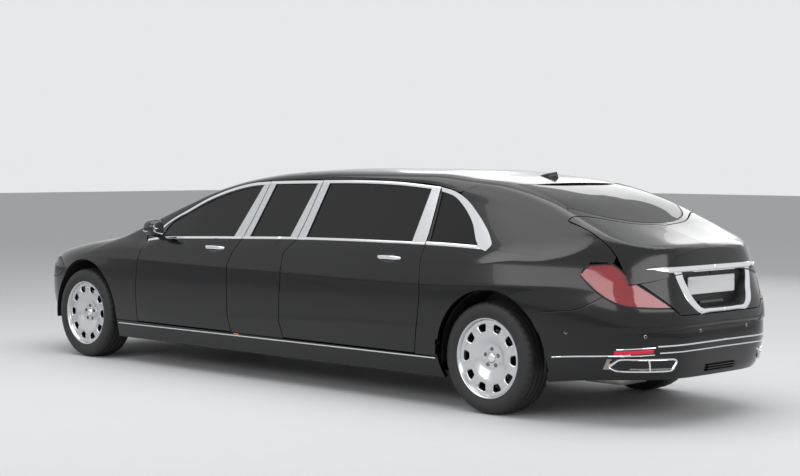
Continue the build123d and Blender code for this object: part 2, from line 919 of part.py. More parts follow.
def engine_block():
    x0 = front_axle_x - 330
    engine = block((x0, -240, 320), (x0 + 720, 240, 800))
    box = block((x0 - 640, -80, 240), (x0 + 1, 80, 350))
    return engine + box


def exhaust_system():
    # Two pipes in the tunnel, a silencer each side behind the axle, and the tail trims.
    z = floor_z + 55
    whole = block((rear_axle_x - 560, -440, 225), (rear_axle_x - 480, 440, 305))
    run = front_axle_x - 1050 - (rear_axle_x - 520)
    pipe = Rot(0, -90, 0) * Cylinder(26, run, align=(Align.CENTER, Align.CENTER, Align.MIN))
    for side in (-1, 1):
        whole = whole + Pos(front_axle_x - 1050, side * 45, z) * pipe
    for side in (-1, 1):
        y0, y1 = sorted((side * 300, side * 600))
        low = (tail_x + 360, y0, 235)
        whole = whole + fillet(block(low, (rear_axle_x - 500, y1, boot_floor_z - 10)).edges(), 40)
        trim = outer & trim_block(side, 0, tail_x + 420)
        whole = whole + (trim - trim_block(side, -8, tail_x + 330))
    return whole


def trim_block(side, gap, front_x):
    # Room for one tail trim in the rear bumper.
    low = (tail_x - 50, side * trim_y - trim_half - gap, trim_z - trim_rise - gap)
    return block(low, (front_x, side * trim_y + trim_half + gap, trim_z + trim_rise + gap))


def tyre(x, side):
    # Tread, shoulders and sidewalls turned about the axle.
    half = tyre_width / 2
    bead = barrel_radius + joint_gap
    section = [
        (bead, -half + 22),
        (bead, half - 22),
        (rim_radius + joint_gap, half - 8),
        (rim_radius + 45, half),
        (tyre_radius - 32, half - 6),
        (tyre_radius - 6, half - 26),
        (tyre_radius, half - 50),
        (tyre_radius, -half + 50),
        (tyre_radius - 6, -half + 26),
        (tyre_radius - 32, -half + 6),
        (rim_radius + 45, -half),
        (rim_radius + joint_gap, -half + 8),
    ]
    return turned(section, x, side)


def turned(section, x, side):
    # Radius and offset pairs turned about the wheel's axis, offsets outwards.
    face = Face(Wire.make_polygon([Vector(offset, 0, radius) for radius, offset in section]))
    ring = revolve(face, Axis.X, 360)
    return Pos(x, side * tyre_y, tyre_radius) * Rot(0, 0, 90 * side) * ring


hub_face = 28                 # inner side of the wheel's hub, out from the tyre's middle


def rim(x, side):
    # Barrel with two lips, dished disc with openings, and the brake disc behind it.
    half = tyre_width / 2
    outer_r, inner_r = barrel_radius, barrel_radius - barrel_wall
    barrel = [
        (outer_r, -half + 22),
        (rim_radius, -half + 8),
        (rim_radius, -half + 2),
        (inner_r, -half + 6),
        (inner_r, half - 14),
        (rim_radius - 8, half - 3),
        (rim_radius, half - 8),
        (outer_r, half - 22),
    ]
    dish = [
        (0, hub_face),
        (0, hub_face + 50),
        (40, hub_face + 50),
        (60, hub_face + 38),
        (150, hub_face + 66),
        (inner_r + 1, half - 14),
        (inner_r + 1, half - 32),
        (150, hub_face + 44),
        (70, hub_face),
    ]
    disc_out, disc_in = disc_wall / 2 - 5, -disc_wall / 2 - 5
    brake = [
        (0, 0),
        (0, hub_face + 1),
        (66, hub_face + 1),
        (66, disc_out),
        (disc_radius, disc_out),
        (disc_radius, disc_in),
        (110, disc_in),
        (110, 0),
    ]
    wheel = turned(barrel, x, side) + turned(dish, x, side) + turned(brake, x, side)
    place = Pos(x, side * tyre_y, tyre_radius) * Rot(0, 0, 90 * side)
    for i in range(spoke_holes):
        hole = Box(140, 44, 62)
        at = Rot(360 * i / spoke_holes, 0, 0) * Pos(half - 20, 0, 182)
        wheel = wheel - place * at * hole
    return wheel


def knuckle(side):
    # Upright behind the brake disc, with the caliper and the hub stub.
    y = side * (tyre_y - steer_offset)
    stub_out = side * (tyre_y - 3)
    x = front_axle_x
    z = tyre_radius
    y0, y1 = sorted((y - side * 25, y + side * 19))
    upright_bar = block((x - 35, y0, z - 105), (x + 35, y1, z + 120))
    length_y = abs(stub_out - y)
    stub = Pos(x, (stub_out + y) / 2, z) * Rot(90, 0, 0) * Cylinder(50, length_y)
    caliper_y0, caliper_y1 = sorted((side * (tyre_y - 46), side * (tyre_y - 26)))
    caliper = block((x - 205, caliper_y0, z - 60), (x - 20, caliper_y1, z + 60))
    kingpin = Pos(x, y, z + 130) * Cylinder(18, 40)
    return upright_bar + stub + caliper + kingpin


def front_suspension():
    # Crossmember and lower arms.
    x = front_axle_x
    whole = block((x - 90, -400, floor_z + 17), (x + 90, 400, 300))
    arm_end = tyre_y - steer_offset - 5
    for side in (-1, 1):
        y0, y1 = sorted((side * 390, side * arm_end))
        whole = whole + block((x - 28, y0, 225), (x + 28, y1, 225 + 32))
    return whole


def rear_suspension():
    # Cradle, final drive, half shafts and the hub carriers.
    x = rear_axle_x
    cradle = block((x - 170, -420, 330), (x + 170, 420, boot_floor_z - 2))
    drive = fillet(block((x - 150, -130, 300), (x + 150, 130, boot_floor_z - 4)).edges(), 20)
    whole = cradle + drive
    end = tyre_y - 42
    for side in (-1, 1):
        shaft = Pos(x, side * (end + 100) / 2, tyre_radius) * Rot(90, 0, 0) * Cylinder(28, end - 100)
        carrier = Pos(x, side * (end - 12), tyre_radius) * Rot(90, 0, 0) * Cylinder(105, 40)
        y0, y1 = sorted((side * 400, side * (end - 10)))
        arm = block((x - 60, y0, 270), (x + 60, y1, 300))
        whole = whole + shaft + carrier + arm
    return whole


parts = {
    "floor_pan": floor_pan,
    "front_wings": front_wing,
    "centre_panels": centre_panel,
    "quarter_panels": quarter_panel,
    "sills": sill,
    "roof_panel": roof_panel,
    "roof_rails": roof_rail,
    "scuttle_panel": scuttle,
    "windscreen": windscreen,
    "rear_window": backlight,
    "fixed_side_windows": fixed_side_windows,
    "front_bumper": front_bumper,
    "rear_bumper": rear_bumper,
    "grille": grille,
    "headlamps": headlamp,
    "tail_lamps": tail_lamp,
    "wheel_liners": wheel_liners,
    "bulkheads": bulkheads,
    "dashboard": dashboard,
    "partition_wall": partition_wall,
    "front_seats": front_seats,
    "cabin_seats": cabin_seats,
    "engine_block": engine_block,
    "exhaust_system": exhaust_system,
    "front_suspension": front_suspension,
    "rear_suspension": rear_suspension,
    "steering_wheel": steering_wheel,
    "bonnet": bonnet,
    "boot_lid": boot_lid,
}

sides = {"left": 1, "right": -1}


def on_side(piece, side):
    return piece if side > 0 else mirror(piece, Plane.XZ)


def save(name, shape):
    export_step(Compound(children=solids_of(shape)), f"parts/{name}.step")


os.makedirs("parts", exist_ok=True)
for name, make in parts.items():
    save(name, make())

front_door = door(front_door_outline, front_window, front_handle_x)
rear_door = door(rear_door_outline, rear_window_outline, rear_handle_x)
front_door_glass = side_glass(front_window)
rear_door_glass = side_glass(rear_window_outline)
for name, side in sides.items():
    save(f"front_door_{name}", on_side(front_door, side))
    save(f"rear_door_{name}", on_side(rear_door, side))
    save(f"front_door_glass_{name}", on_side(front_door_glass, side))
    save(f"rear_door_glass_{name}", on_side(rear_door_glass, side))
    save(f"mirror_{name}", on_side(mirror_shell(), side))
    save(f"knuckle_{name}", knuckle(side))
    for axle, x in (("front", front_axle_x), ("rear", rear_axle_x)):
        save(f"tyre_{axle}_{name}", tyre(x, side))
        save(f"rim_{axle}_{name}", rim(x, side))
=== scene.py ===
import json
import math

import bmesh
import bpy
import numpy as np
from mathutils import Matrix, Vector

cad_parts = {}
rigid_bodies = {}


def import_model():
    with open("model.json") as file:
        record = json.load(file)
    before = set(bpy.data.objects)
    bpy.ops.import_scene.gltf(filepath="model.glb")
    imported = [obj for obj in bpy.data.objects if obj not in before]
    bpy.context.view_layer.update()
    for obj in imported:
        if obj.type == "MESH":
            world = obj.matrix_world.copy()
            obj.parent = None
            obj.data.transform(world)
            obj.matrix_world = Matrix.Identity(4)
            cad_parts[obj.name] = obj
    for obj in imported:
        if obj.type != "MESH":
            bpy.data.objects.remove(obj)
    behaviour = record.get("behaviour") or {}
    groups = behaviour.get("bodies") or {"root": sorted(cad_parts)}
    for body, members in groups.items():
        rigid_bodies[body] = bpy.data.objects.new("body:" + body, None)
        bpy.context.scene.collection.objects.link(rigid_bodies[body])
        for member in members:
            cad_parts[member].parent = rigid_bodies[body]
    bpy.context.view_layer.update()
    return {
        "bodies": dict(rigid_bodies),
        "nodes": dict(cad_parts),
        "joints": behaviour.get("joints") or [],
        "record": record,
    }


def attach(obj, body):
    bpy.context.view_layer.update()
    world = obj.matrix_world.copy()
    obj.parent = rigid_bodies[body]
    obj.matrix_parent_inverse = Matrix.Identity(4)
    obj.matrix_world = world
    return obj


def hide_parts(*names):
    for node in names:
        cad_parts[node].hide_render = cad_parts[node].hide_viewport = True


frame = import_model()
print("frame loaded")

# X forward, Y to the car's left, Z up, all in metres
frontAxle = (2.3735, 0.364)
rearAxle = (-2.0445, 0.364)
rearArch = (-2.0645, 0.364)
archRadius = 0.444
wheelY = 0.803


# Lines through points

def lineThrough(points):
    # smooth value along rising x through (x, value) pairs, without overshoot
    xs, ys = np.array(sorted(points), float).T
    step = np.diff(xs)
    slope = np.diff(ys) / step
    tangent = np.zeros(len(xs))
    tangent[0], tangent[-1] = slope[0], slope[-1]
    for i in range(1, len(xs) - 1):
        if slope[i - 1] * slope[i] > 0:
            w1, w2 = 2 * step[i] + step[i - 1], step[i] + 2 * step[i - 1]
            tangent[i] = (w1 + w2) / (w1 / slope[i - 1] + w2 / slope[i])

    def value(x):
        x = np.asarray(x, float)
        i = np.clip(np.searchsorted(xs, x) - 1, 0, len(step) - 1)
        t = (x - xs[i]) / step[i]
        inside = np.clip(t, 0, 1)
        t2, t3 = inside ** 2, inside ** 3
        h = (2 * t3 - 3 * t2 + 1) * ys[i] + (t3 - 2 * t2 + inside) * step[i] * tangent[i]
        h = h + (3 * t2 - 2 * t3) * ys[i + 1] + (t3 - t2) * step[i] * tangent[i + 1]
        h = h + np.where(t < 0, t * step[i] * tangent[i], 0)
        return h + np.where(t > 1, (t - 1) * step[i] * tangent[i + 1], 0)

    return value


def rounded(points, count, smooth=True):
    # evenly spaced points along a line through the given ones
    p = np.array(points, float)
    if smooth and len(p) > 2:
        chord = np.maximum(np.linalg.norm(np.diff(p, axis=0), axis=1), 1e-9)[:, None]
        slope = np.diff(p, axis=0) / chord
        before, after = chord[:-1], chord[1:]
        inner = (slope[:-1] * after + slope[1:] * before) / (before + after)
        tangent = np.vstack([slope[:1], inner, slope[-1:]])
        t = np.linspace(0, 1, 13)[:-1, None]
        t2, t3 = t * t, t * t * t
        dense = []
        for i in range(len(chord)):
            dense.append((2 * t3 - 3 * t2 + 1) * p[i] + (t3 - 2 * t2 + t) * chord[i] * tangent[i]
                         + (3 * t2 - 2 * t3) * p[i + 1] + (t3 - t2) * chord[i] * tangent[i + 1])
        p = np.vstack(dense + [p[-1:]])
    run = np.concatenate([[0], np.cumsum(np.linalg.norm(np.diff(p, axis=0), axis=1))])
    at = np.linspace(0, run[-1], count)
    return np.stack([np.interp(at, run, p[:, k]) for k in range(p.shape[1])], 1)


def patch(bottom, top, left, right, across, up):
    # grid between four edges; bottom and top run left to right, left and right run upwards
    b, t = rounded(bottom, across + 1, False), rounded(top, across + 1, False)
    l, r = rounded(left, up + 1, False), rounded(right, up + 1, False)
    u = np.linspace(0, 1, across + 1)[None, :, None]
    v = np.linspace(0, 1, up + 1)[:, None, None]
    corners = (1 - u) * (1 - v) * b[0] + u * (1 - v) * b[-1] + (1 - u) * v * t[0] + u * v * t[-1]
    return (1 - v) * b[None] + v * t[None] + (1 - u) * l[:, None] + u * r[:, None] - corners


# Body surface: height, how far the side, nose and tail stand in
bodyLevels = [
    (0.195, 0.070, 0.130, 0.130),
    (0.340, 0.025, 0.035, 0.030),
    (0.520, 0.006, 0.000, 0.000),
    (0.700, 0.000, 0.012, 0.018),
    (0.830, 0.004, 0.066, 0.062),
    (0.960, 0.028, 0.160, 0.090),
    (1.080, 0.072, 0.280, 0.110),
    (1.170, 0.120, 0.360, 0.150),
]
bodySize = {"halfWidth": 0.9495, "end": 3.2495, "curveEnd": 3.2645, "nosePower": (8, 4),
            "tailPower": (8.5, 3.1), "noseCrown": 0.03, "roofZ": 1.575, "shoulderRound": 0.075}
sideIn = lineThrough([(row[0], row[1]) for row in bodyLevels])
noseIn = lineThrough([(row[0], row[2]) for row in bodyLevels])
tailIn = lineThrough([(row[0], row[3]) for row in bodyLevels])
shoulderCrease = lineThrough([(2.60, 0.885), (2.126, 0.874), (1.641, 0.858), (0.517, 0.832),
                              (-0.079, 0.827), (-1.289, 0.816), (-2.1, 0.835), (-2.75, 0.86)])
lowCrease = lineThrough([(1.60, 0.393), (1.357, 0.404), (0.518, 0.442), (-1.291, 0.516),
                         (-1.636, 0.520)])
bonnetTop = lineThrough([(3.2695, 0.770), (3.1195, 0.815), (2.8995, 0.885), (2.5995, 0.950),
                         (2.3035, 1.000), (1.9035, 1.046), (1.6735, 1.050), (1.4435, 1.120)])
deckTop = lineThrough([(-1.2, 1.120), (-2.3445, 1.120), (-2.7445, 1.138), (-2.9995, 1.112),
                       (-3.1695, 1.086), (-3.2695, 1.060)])
bonnetCrown = lineThrough([(0, 0), (0.35, 0.007), (0.62, 0.022), (0.80, 0.045), (1.0, 0.110)])
deckCrown = lineThrough([(0, 0), (0.30, 0.010), (0.56, 0.045), (0.72, 0.085), (1.0, 0.190)])
roofSection = lineThrough([(0, 0), (0.25, 0.003), (0.48, 0.014), (0.58, 0.028), (0.63, 0.049),
                           (0.66, 0.096), (0.70, 0.172), (0.885, 0.525)])
roofDrop = lineThrough([(1.9305, 0.530), (1.2005, 0.245), (0.9505, 0.155), (0.5905, 0.070),
                        (0.1505, 0.020), (-0.3995, 0), (-1.2405, 0.005), (-1.6305, 0.038),
                        (-1.8505, 0.058), (-2.0805, 0.101), (-2.3105, 0.166), (-2.6405, 0.304),
                        (-2.8905, 0.418)])
roofNarrow = lineThrough([(1.9305, 0.050), (1.2005, 0.008), (0.9505, 0), (-1.2405, 0),
                          (-1.6305, 0.006), (-1.8505, 0.014), (-2.0805, 0.030),
                          (-2.3105, 0.052), (-2.6405, 0.092), (-2.8905, 0.135)])
sideLean = 0.5245


def smoothMax(a, b, k):
    h = np.maximum(k - np.abs(a - b), 0) / k
    return np.maximum(a, b) + h * h * k / 4


def ease(x, low, high):
    t = np.clip((x - low) / (high - low), 0, 1)
    return t * t * (3 - 2 * t)


def ridge(gap, width, height):
    return height * np.exp(-np.sqrt(gap * gap + 0.00005) / width)


def hullGap(x, y, z):
    # how far a point lies outside the lower body
    front = x >= 0
    inset = sideIn(z) - ridge(z - shoulderCrease(x), 0.035, 0.0035) * ease(-np.abs(x + 0.1), -2.8, -2.2)
    inset = inset - ridge(z - lowCrease(x), 0.035, 0.0045) * ease(x, -1.62, -1.40) * ease(-x, -1.66, -1.5)
    endIn = np.where(front, noseIn(z), tailIn(z))
    a = np.clip((np.abs(x) + endIn) / bodySize["curveEnd"], 0, 1.4)
    b = np.clip((np.abs(y) + inset) / bodySize["halfWidth"], 0, 1.4)
    p = np.where(front, bodySize["nosePower"][0], bodySize["tailPower"][0])
    q = np.where(front, bodySize["nosePower"][1], bodySize["tailPower"][1])
    ax, by = a ** (p - 1), b ** (q - 1)
    f = ax * a + by * b - 1
    steep = np.sqrt((p * ax / bodySize["curveEnd"]) ** 2 + (q * by / bodySize["halfWidth"]) ** 2 + 1e-6)
    end = np.abs(x) + endIn - bodySize["end"] + bodySize["noseCrown"] * y * y
    return smoothMax(f / steep, end, 0.03)


def topZ(x, y):
    front = bonnetTop(x) - bonnetCrown(np.abs(y))
    return np.where(x >= 0, front, deckTop(x) - deckCrown(np.abs(y)))


def roofGap(x, y, z):
    inner = np.abs(y) - sideLean * roofDrop(x) + roofNarrow(x)
    inner = np.maximum(inner, 0)
    slope = (roofSection(inner + 0.001) - roofSection(inner)) / 0.001
    gap = z - (bodySize["roofZ"] - roofDrop(x) - roofSection(inner))
    return gap / np.sqrt(1 + slope * slope)


def bodyGap(x, y, z):
    # lower body and cabin in one, flowing together behind the rear doors
    hull = hullGap(x, y, z)
    low = smoothMax(hull, (z - topZ(x, y)) * 0.97, bodySize["shoulderRound"])
    cabin = smoothMax(roofGap(x, y, z), hull, 0.008)
    flow = 0.004 + 0.110 * ease(-x, 1.75, 2.3) + 0.03 * ease(x, 1.5, 1.8)
    return np.maximum(-smoothMax(-low, -cabin, flow), hull)


def search(inside, low, high):
    for _ in range(34):
        middle = (low + high) / 2
        within = inside(middle) < 0
        low, high = np.where(within, middle, low), np.where(within, high, middle)
    return low


def lifted(place, size, low, high, gap=bodyGap, depth=0.0):
    # points along lines, each given by its distance, carried to where they meet the surface
    far = search(lambda v: gap(*place(v)) + depth, np.full(size, low), np.full(size, high))
    return np.stack(place(far), -1)


def twoParts(grid):
    return np.moveaxis(np.asarray(grid, float), -1, 0)


def liftSide(grid, gap=bodyGap, depth=0.0):
    # (x, z) points carried out sideways
    x, z = twoParts(grid)
    return lifted(lambda y: (x, y, z), x.shape, 0.0, 1.1, gap, depth)


def liftTop(grid, gap=bodyGap, depth=0.0):
    # (x, y) points carried up
    x, y = twoParts(grid)
    return lifted(lambda z: (x, y, z), x.shape, 0.3, 1.8, gap, depth)


def liftEnd(grid, end, gap=bodyGap, depth=0.0):
    # (y, z) points carried out to the nose (end 1) or the tail (end -1)
    y, z = twoParts(grid)
    return lifted(lambda v: (end * v, y, z), y.shape, 2.0, 3.4, gap, depth)


def liftTurn(grid, pivot):
    # (x, angle) points carried outwards round a lengthwise line
    x, angle = twoParts(grid)
    c, s = np.cos(angle), np.sin(angle)
    return lifted(lambda r: (x, pivot[0] + r * c, pivot[1] + r * s), x.shape, 0.0, 1.1)


def turned(points, pivot):
    # surface points as (x, angle) round a lengthwise line
    p = np.asarray(points)
    return np.stack([p[..., 0], np.arctan2(p[..., 2] - pivot[1], p[..., 1] - pivot[0])], -1)


def settle(points, rounds=10):
    # moves points to the surface the shortest way
    p = np.array(points, float)
    e = 0.0005
    for _ in range(rounds):
        x, y, z = p[..., 0], p[..., 1], p[..., 2]
        f = bodyGap(x, y, z)
        g = np.stack([bodyGap(x + e, y, z) - bodyGap(x - e, y, z), bodyGap(x, y + e, z)
                      - bodyGap(x, y - e, z), bodyGap(x, y, z + e) - bodyGap(x, y, z - e)], -1) / (2 * e)
        p = p - 0.9 * f[..., None] * g / np.maximum((g * g).sum(-1), 0.05)[..., None]
    return p


# Mesh helpers: a shape is a pair (points, faces)

def gridShape(grid, flip=False, wrap=False):
    rows, columns = grid.shape[:2]
    i = np.arange(rows * columns).reshape(rows, columns)
    if wrap:
        i = np.concatenate([i, i[:, :1]], 1)
    quads = np.stack([i[:-1, :-1], i[:-1, 1:], i[1:, 1:], i[1:, :-1]], -1).reshape(-1, 4)
    if flip:
        quads = quads[:, ::-1]
    return grid.reshape(-1, 3), quads.tolist()


def joined(shapes):
    points, faces, start = [], [], 0
    for p, f in shapes:
        points.append(np.asarray(p, float))
        faces.extend([[v + start for v in face] for face in f])
        start += len(p)
    return np.vstack(points), faces


def otherSide(shape):
    p, f = shape
    return np.asarray(p) * (1, -1, 1), [face[::-1] for face in f]


def pair(shape):
    return joined([shape, otherSide(shape)])


def gridNormals(grid):
    du = np.gradient(grid, axis=1)
    dv = np.gradient(grid, axis=0)
    n = np.cross(du, dv)
    return n / np.maximum(np.linalg.norm(n, axis=-1), 1e-9)[..., None]


def slab(grid, depth, along=None, out=(0, 0, 0.7)):
    # closed sheet: the grid is its outer face; the inner one lies depth below, or at an offset
    n = gridNormals(grid)
    away = grid - np.array(out)
    flip = (n * away).sum() < 0
    if flip:
        n = -n
    inner = grid - n * depth if along is None else grid + np.array(along)
    rows, columns = grid.shape[:2]
    outer = gridShape(grid, flip)
    below = gridShape(inner, not flip)
    size = rows * columns
    faces = outer[1] + [[v + size for v in face] for face in below[1]]
    i = np.arange(size).reshape(rows, columns)
    ring = list(i[0, :-1]) + list(i[:-1, -1]) + list(i[-1, :0:-1]) + list(i[:0:-1, 0])
    for a, b in zip(ring, ring[1:] + ring[:1]):
        face = [int(b), int(a), int(a) + size, int(b) + size]
        faces.append(face[::-1] if flip else face)
    return np.vstack([outer[0], below[0]]), faces


def tube(path, section, up=(0, 0, 1), closed=False):
    # carries a closed section, (aside, up) pairs, along a path
    p = np.array(path, float)
    if closed:
        forward = np.roll(p, -1, 0) - np.roll(p, 1, 0)
    else:
        forward = np.gradient(p, axis=0)
    forward = forward / np.linalg.norm(forward, axis=1)[:, None]
    ups = np.broadcast_to(np.array(up, float), p.shape)
    aside = np.cross(forward, ups)
    aside = aside / np.linalg.norm(aside, axis=1)[:, None]
    ups = np.cross(aside, forward)
    s = np.array(section, float)
    rings = p[:, None] + s[None, :, :1] * aside[:, None] + s[None, :, 1:2] * ups[:, None]
    points, faces = gridShape(rings, wrap=True)
    if closed:
        count, last = len(s), (len(p) - 1) * len(s)
        for k in range(count):
            faces.append([last + k, last + (k + 1) % count, (k + 1) % count, k])
    else:
        faces.append(list(range(len(s)))[::-1])
        faces.append(list(range((len(p) - 1) * len(s), len(p) * len(s))))
    return points, faces


def circle(radius, count):
    t = np.linspace(0, 2 * math.pi, count, endpoint=False)
    return np.stack([radius * np.cos(t), radius * np.sin(t)], 1)


def spun(profile, count, wrapped=False):
    # (radius, offset) pairs turned about the Y axis, offset outwards
    prof = np.array(profile, float)
    t = np.linspace(0, 2 * math.pi, count, endpoint=False)
    grid = np.stack([prof[:, 0, None] * np.cos(t), np.broadcast_to(prof[:, 1, None], (len(prof), count)),
                     prof[:, 0, None] * np.sin(t)], -1)
    if wrapped:
        grid = np.concatenate([grid, grid[:1]], 0)
    return gridShape(grid, wrap=True)


def moved(shape, offset=(0, 0, 0), matrix=None):
    p = np.asarray(shape[0], float)
    if matrix is not None:
        p = p @ np.array(matrix, float)[:3, :3].T
    return p + np.array(offset, float), shape[1]


def addPiece(name, shape, material, body="root", stands=(), bevel=0.0, flat=False, sharp=38, slot=None):
    mesh = bpy.data.meshes.new(name)
    points, faces = shape
    mesh.from_pydata([tuple(p) for p in points], [], faces)
    mesh.update()
    build = bmesh.new()
    build.from_mesh(mesh)
    bmesh.ops.remove_doubles(build, verts=build.verts, dist=0.00002)
    bmesh.ops.recalc_face_normals(build, faces=build.faces)
    limit = math.radians(sharp)
    for edge in build.edges:
        edge.smooth = not (len(edge.link_faces) == 2 and edge.calc_face_angle(0) > limit)
    for face in build.faces:
        face.smooth = not flat
    build.to_mesh(mesh)
    build.free()
    piece = bpy.data.objects.new(name, mesh)
    bpy.context.scene.collection.objects.link(piece)
    mesh.materials.append(material)
    if bevel:
        edge = piece.modifiers.new("edge", "BEVEL")
        edge.width, edge.segments, edge.limit_method = bevel, 2, "ANGLE"
        edge.angle_limit = math.radians(45)
        edge.use_clamp_overlap = True
        even = piece.modifiers.new("even", "WEIGHTED_NORMAL")
        even.keep_sharp = False
        for e in mesh.edges:
            e.use_edge_sharp = False
    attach(piece, body)
    if stands:
        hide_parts(*([stands] if isinstance(stands, str) else stands))
    return piece


# Materials


def surface(name, colour, roughness, metallic=0.0, coat=0.0, fleck=0.0, fleckScale=60.0, rough=0.0,
            bump=0.0, bumpScale=300.0, weave=None, **sockets):
    # one finish with uneven colour, uneven gloss and a fine relief
    m = bpy.data.materials.new(name)
    m.use_nodes = True
    nodes, links = m.node_tree.nodes, m.node_tree.links
    shader = nodes["Principled BSDF"]
    shader.inputs["Metallic"].default_value = metallic
    shader.inputs["Coat Weight"].default_value = coat
    shader.inputs["Coat Roughness"].default_value = 0.02
    for key, value in sockets.items():
        shader.inputs[key.replace("_", " ")].default_value = value
    place = nodes.new("ShaderNodeTexCoord")
    noise = nodes.new("ShaderNodeTexNoise")
    noise.inputs["Scale"].default_value = fleckScale
    noise.inputs["Detail"].default_value = 6
    links.new(place.outputs["Object"], noise.inputs["Vector"])
    tint = nodes.new("ShaderNodeMix")
    tint.data_type = "RGBA"
    tint.inputs["A"].default_value = [c * (1 - fleck) for c in colour] + [1]
    tint.inputs["B"].default_value = [min(1, c * (1 + fleck)) for c in colour] + [1]
    links.new(noise.outputs["Fac"], tint.inputs["Factor"])
    links.new(tint.outputs["Result"], shader.inputs["Base Color"])
    spread = nodes.new("ShaderNodeMapRange")
    spread.inputs["To Min"].default_value = max(0, roughness - rough)
    spread.inputs["To Max"].default_value = min(1, roughness + rough)
    links.new(noise.outputs["Fac"], spread.inputs["Value"])
    links.new(spread.outputs["Result"], shader.inputs["Roughness"])
    if bump:
        grain = nodes.new("ShaderNodeTexNoise" if weave is None else "ShaderNodeTexVoronoi")
        grain.inputs["Scale"].default_value = bumpScale
        links.new(place.outputs["Object"], grain.inputs["Vector"])
        relief = nodes.new("ShaderNodeBump")
        relief.inputs["Strength"].default_value = bump
        relief.inputs["Distance"].default_value = 0.001
        out = grain.outputs["Fac"] if weave is None else grain.outputs["Distance"]
        links.new(out, relief.inputs["Height"])
        links.new(relief.outputs["Normal"], shader.inputs["Normal"])
    return m


paint = surface("gloss_black_paint", (0.0030, 0.0031, 0.0036), 0.16, coat=0.30, fleck=0.3, fleckScale=900,
                rough=0.03, bump=0.012, bumpScale=90, Specular_IOR_Level=0.32)
chrome = surface("bright_chrome", (0.83, 0.84, 0.86), 0.06, metallic=1, fleck=0.02, fleckScale=25,
                 rough=0.02, bump=0.01, bumpScale=400)
satin = surface("satin_aluminium", (0.62, 0.63, 0.65), 0.27, metallic=1, fleck=0.05, fleckScale=200,
                rough=0.05, bump=0.03, bumpScale=900)
blackGloss = surface("black_gloss_trim", (0.006, 0.006, 0.007), 0.08, coat=0.5, fleck=0.2, rough=0.02,
                     bump=0.01, bumpScale=200)
blackPlastic = surface("black_plastic", (0.012, 0.012, 0.013), 0.45, fleck=0.25, fleckScale=120,
                       rough=0.08, bump=0.25, bumpScale=1400)
rubber = surface("tyre_rubber", (0.014, 0.014, 0.015), 0.62, fleck=0.25, fleckScale=40, rough=0.1,
                 bump=0.3, bumpScale=700)
sealRubber = surface("seal_rubber", (0.008, 0.008, 0.008), 0.55, fleck=0.2, rough=0.08, bump=0.1,
                     bumpScale=900)
wheelSilver = surface("wheel_silver", (0.60, 0.61, 0.63), 0.2, metallic=1, coat=0.4, fleck=0.04,
                      fleckScale=300, rough=0.05, bump=0.02, bumpScale=600)
castMetal = surface("cast_metal", (0.20, 0.20, 0.205), 0.5, metallic=1, fleck=0.25, fleckScale=60,
                    rough=0.12, bump=0.35, bumpScale=400)
steel = surface("exhaust_steel", (0.34, 0.33, 0.31), 0.38, metallic=1, fleck=0.2, fleckScale=30,
                rough=0.12, bump=0.15, bumpScale=200)
underside = surface("underbody_coat", (0.02, 0.02, 0.021), 0.75, fleck=0.3, fleckScale=25, rough=0.1,
                    bump=0.6, bumpScale=500)
interiorPlastic = surface("soft_trim", (0.020, 0.019, 0.019), 0.55, fleck=0.2, fleckScale=80,
                          rough=0.08, bump=0.35, bumpScale=1100, weave=True)
leather = surface("seat_leather", (0.030, 0.027, 0.026), 0.42, fleck=0.3, fleckScale=45, rough=0.1,
                  bump=0.5, bumpScale=650, weave=True)
carpet = surface("carpet", (0.012, 0.012, 0.013), 0.95, fleck=0.5, fleckScale=500, bump=0.9,
                 bumpScale=1800)


def glassSurface(name, tint):
    m = bpy.data.materials.new(name)
    m.use_nodes = True
    nodes, links = m.node_tree.nodes, m.node_tree.links
    shader = nodes["Principled BSDF"]
    shader.inputs["Base Color"].default_value = (*tint, 1)
    shader.inputs["Roughness"].default_value = 0.0
    shader.inputs["IOR"].default_value = 1.5
    shader.inputs["Transmission Weight"].default_value = 1.0
    clear = nodes.new("ShaderNodeBsdfTransparent")
    shine = nodes.new("ShaderNodeBsdfGlossy")
    shine.inputs["Roughness"].default_value = 0.01
    place = nodes.new("ShaderNodeTexCoord")
    noise = nodes.new("ShaderNodeTexNoise")
    noise.inputs["Scale"].default_value = 3.0
    links.new(place.outputs["Object"], noise.inputs["Vector"])
    tone = nodes.new("ShaderNodeMix")
    tone.data_type = "RGBA"
    tone.inputs["A"].default_value = [c * 0.92 for c in tint] + [1]
    tone.inputs["B"].default_value = [min(1, c * 1.08) for c in tint] + [1]
    links.new(noise.outputs["Fac"], tone.inputs["Factor"])
    links.new(tone.outputs["Result"], clear.inputs["Color"])
    edge = nodes.new("ShaderNodeFresnel")
    edge.inputs["IOR"].default_value = 1.5
    mix = nodes.new("ShaderNodeMixShader")
    links.new(edge.outputs["Fac"], mix.inputs[0])
    links.new(clear.outputs["BSDF"], mix.inputs[1])
    links.new(shine.outputs["BSDF"], mix.inputs[2])
    links.new(mix.outputs["Shader"], nodes["Material Output"].inputs["Surface"])
    return m


clearGlass = glassSurface("clear_glass", (0.55, 0.58, 0.58))
darkGlass = glassSurface("dark_glass", (0.035, 0.037, 0.040))
frontGlass = glassSurface("light_tinted_glass", (0.22, 0.235, 0.24))
print("materials made")


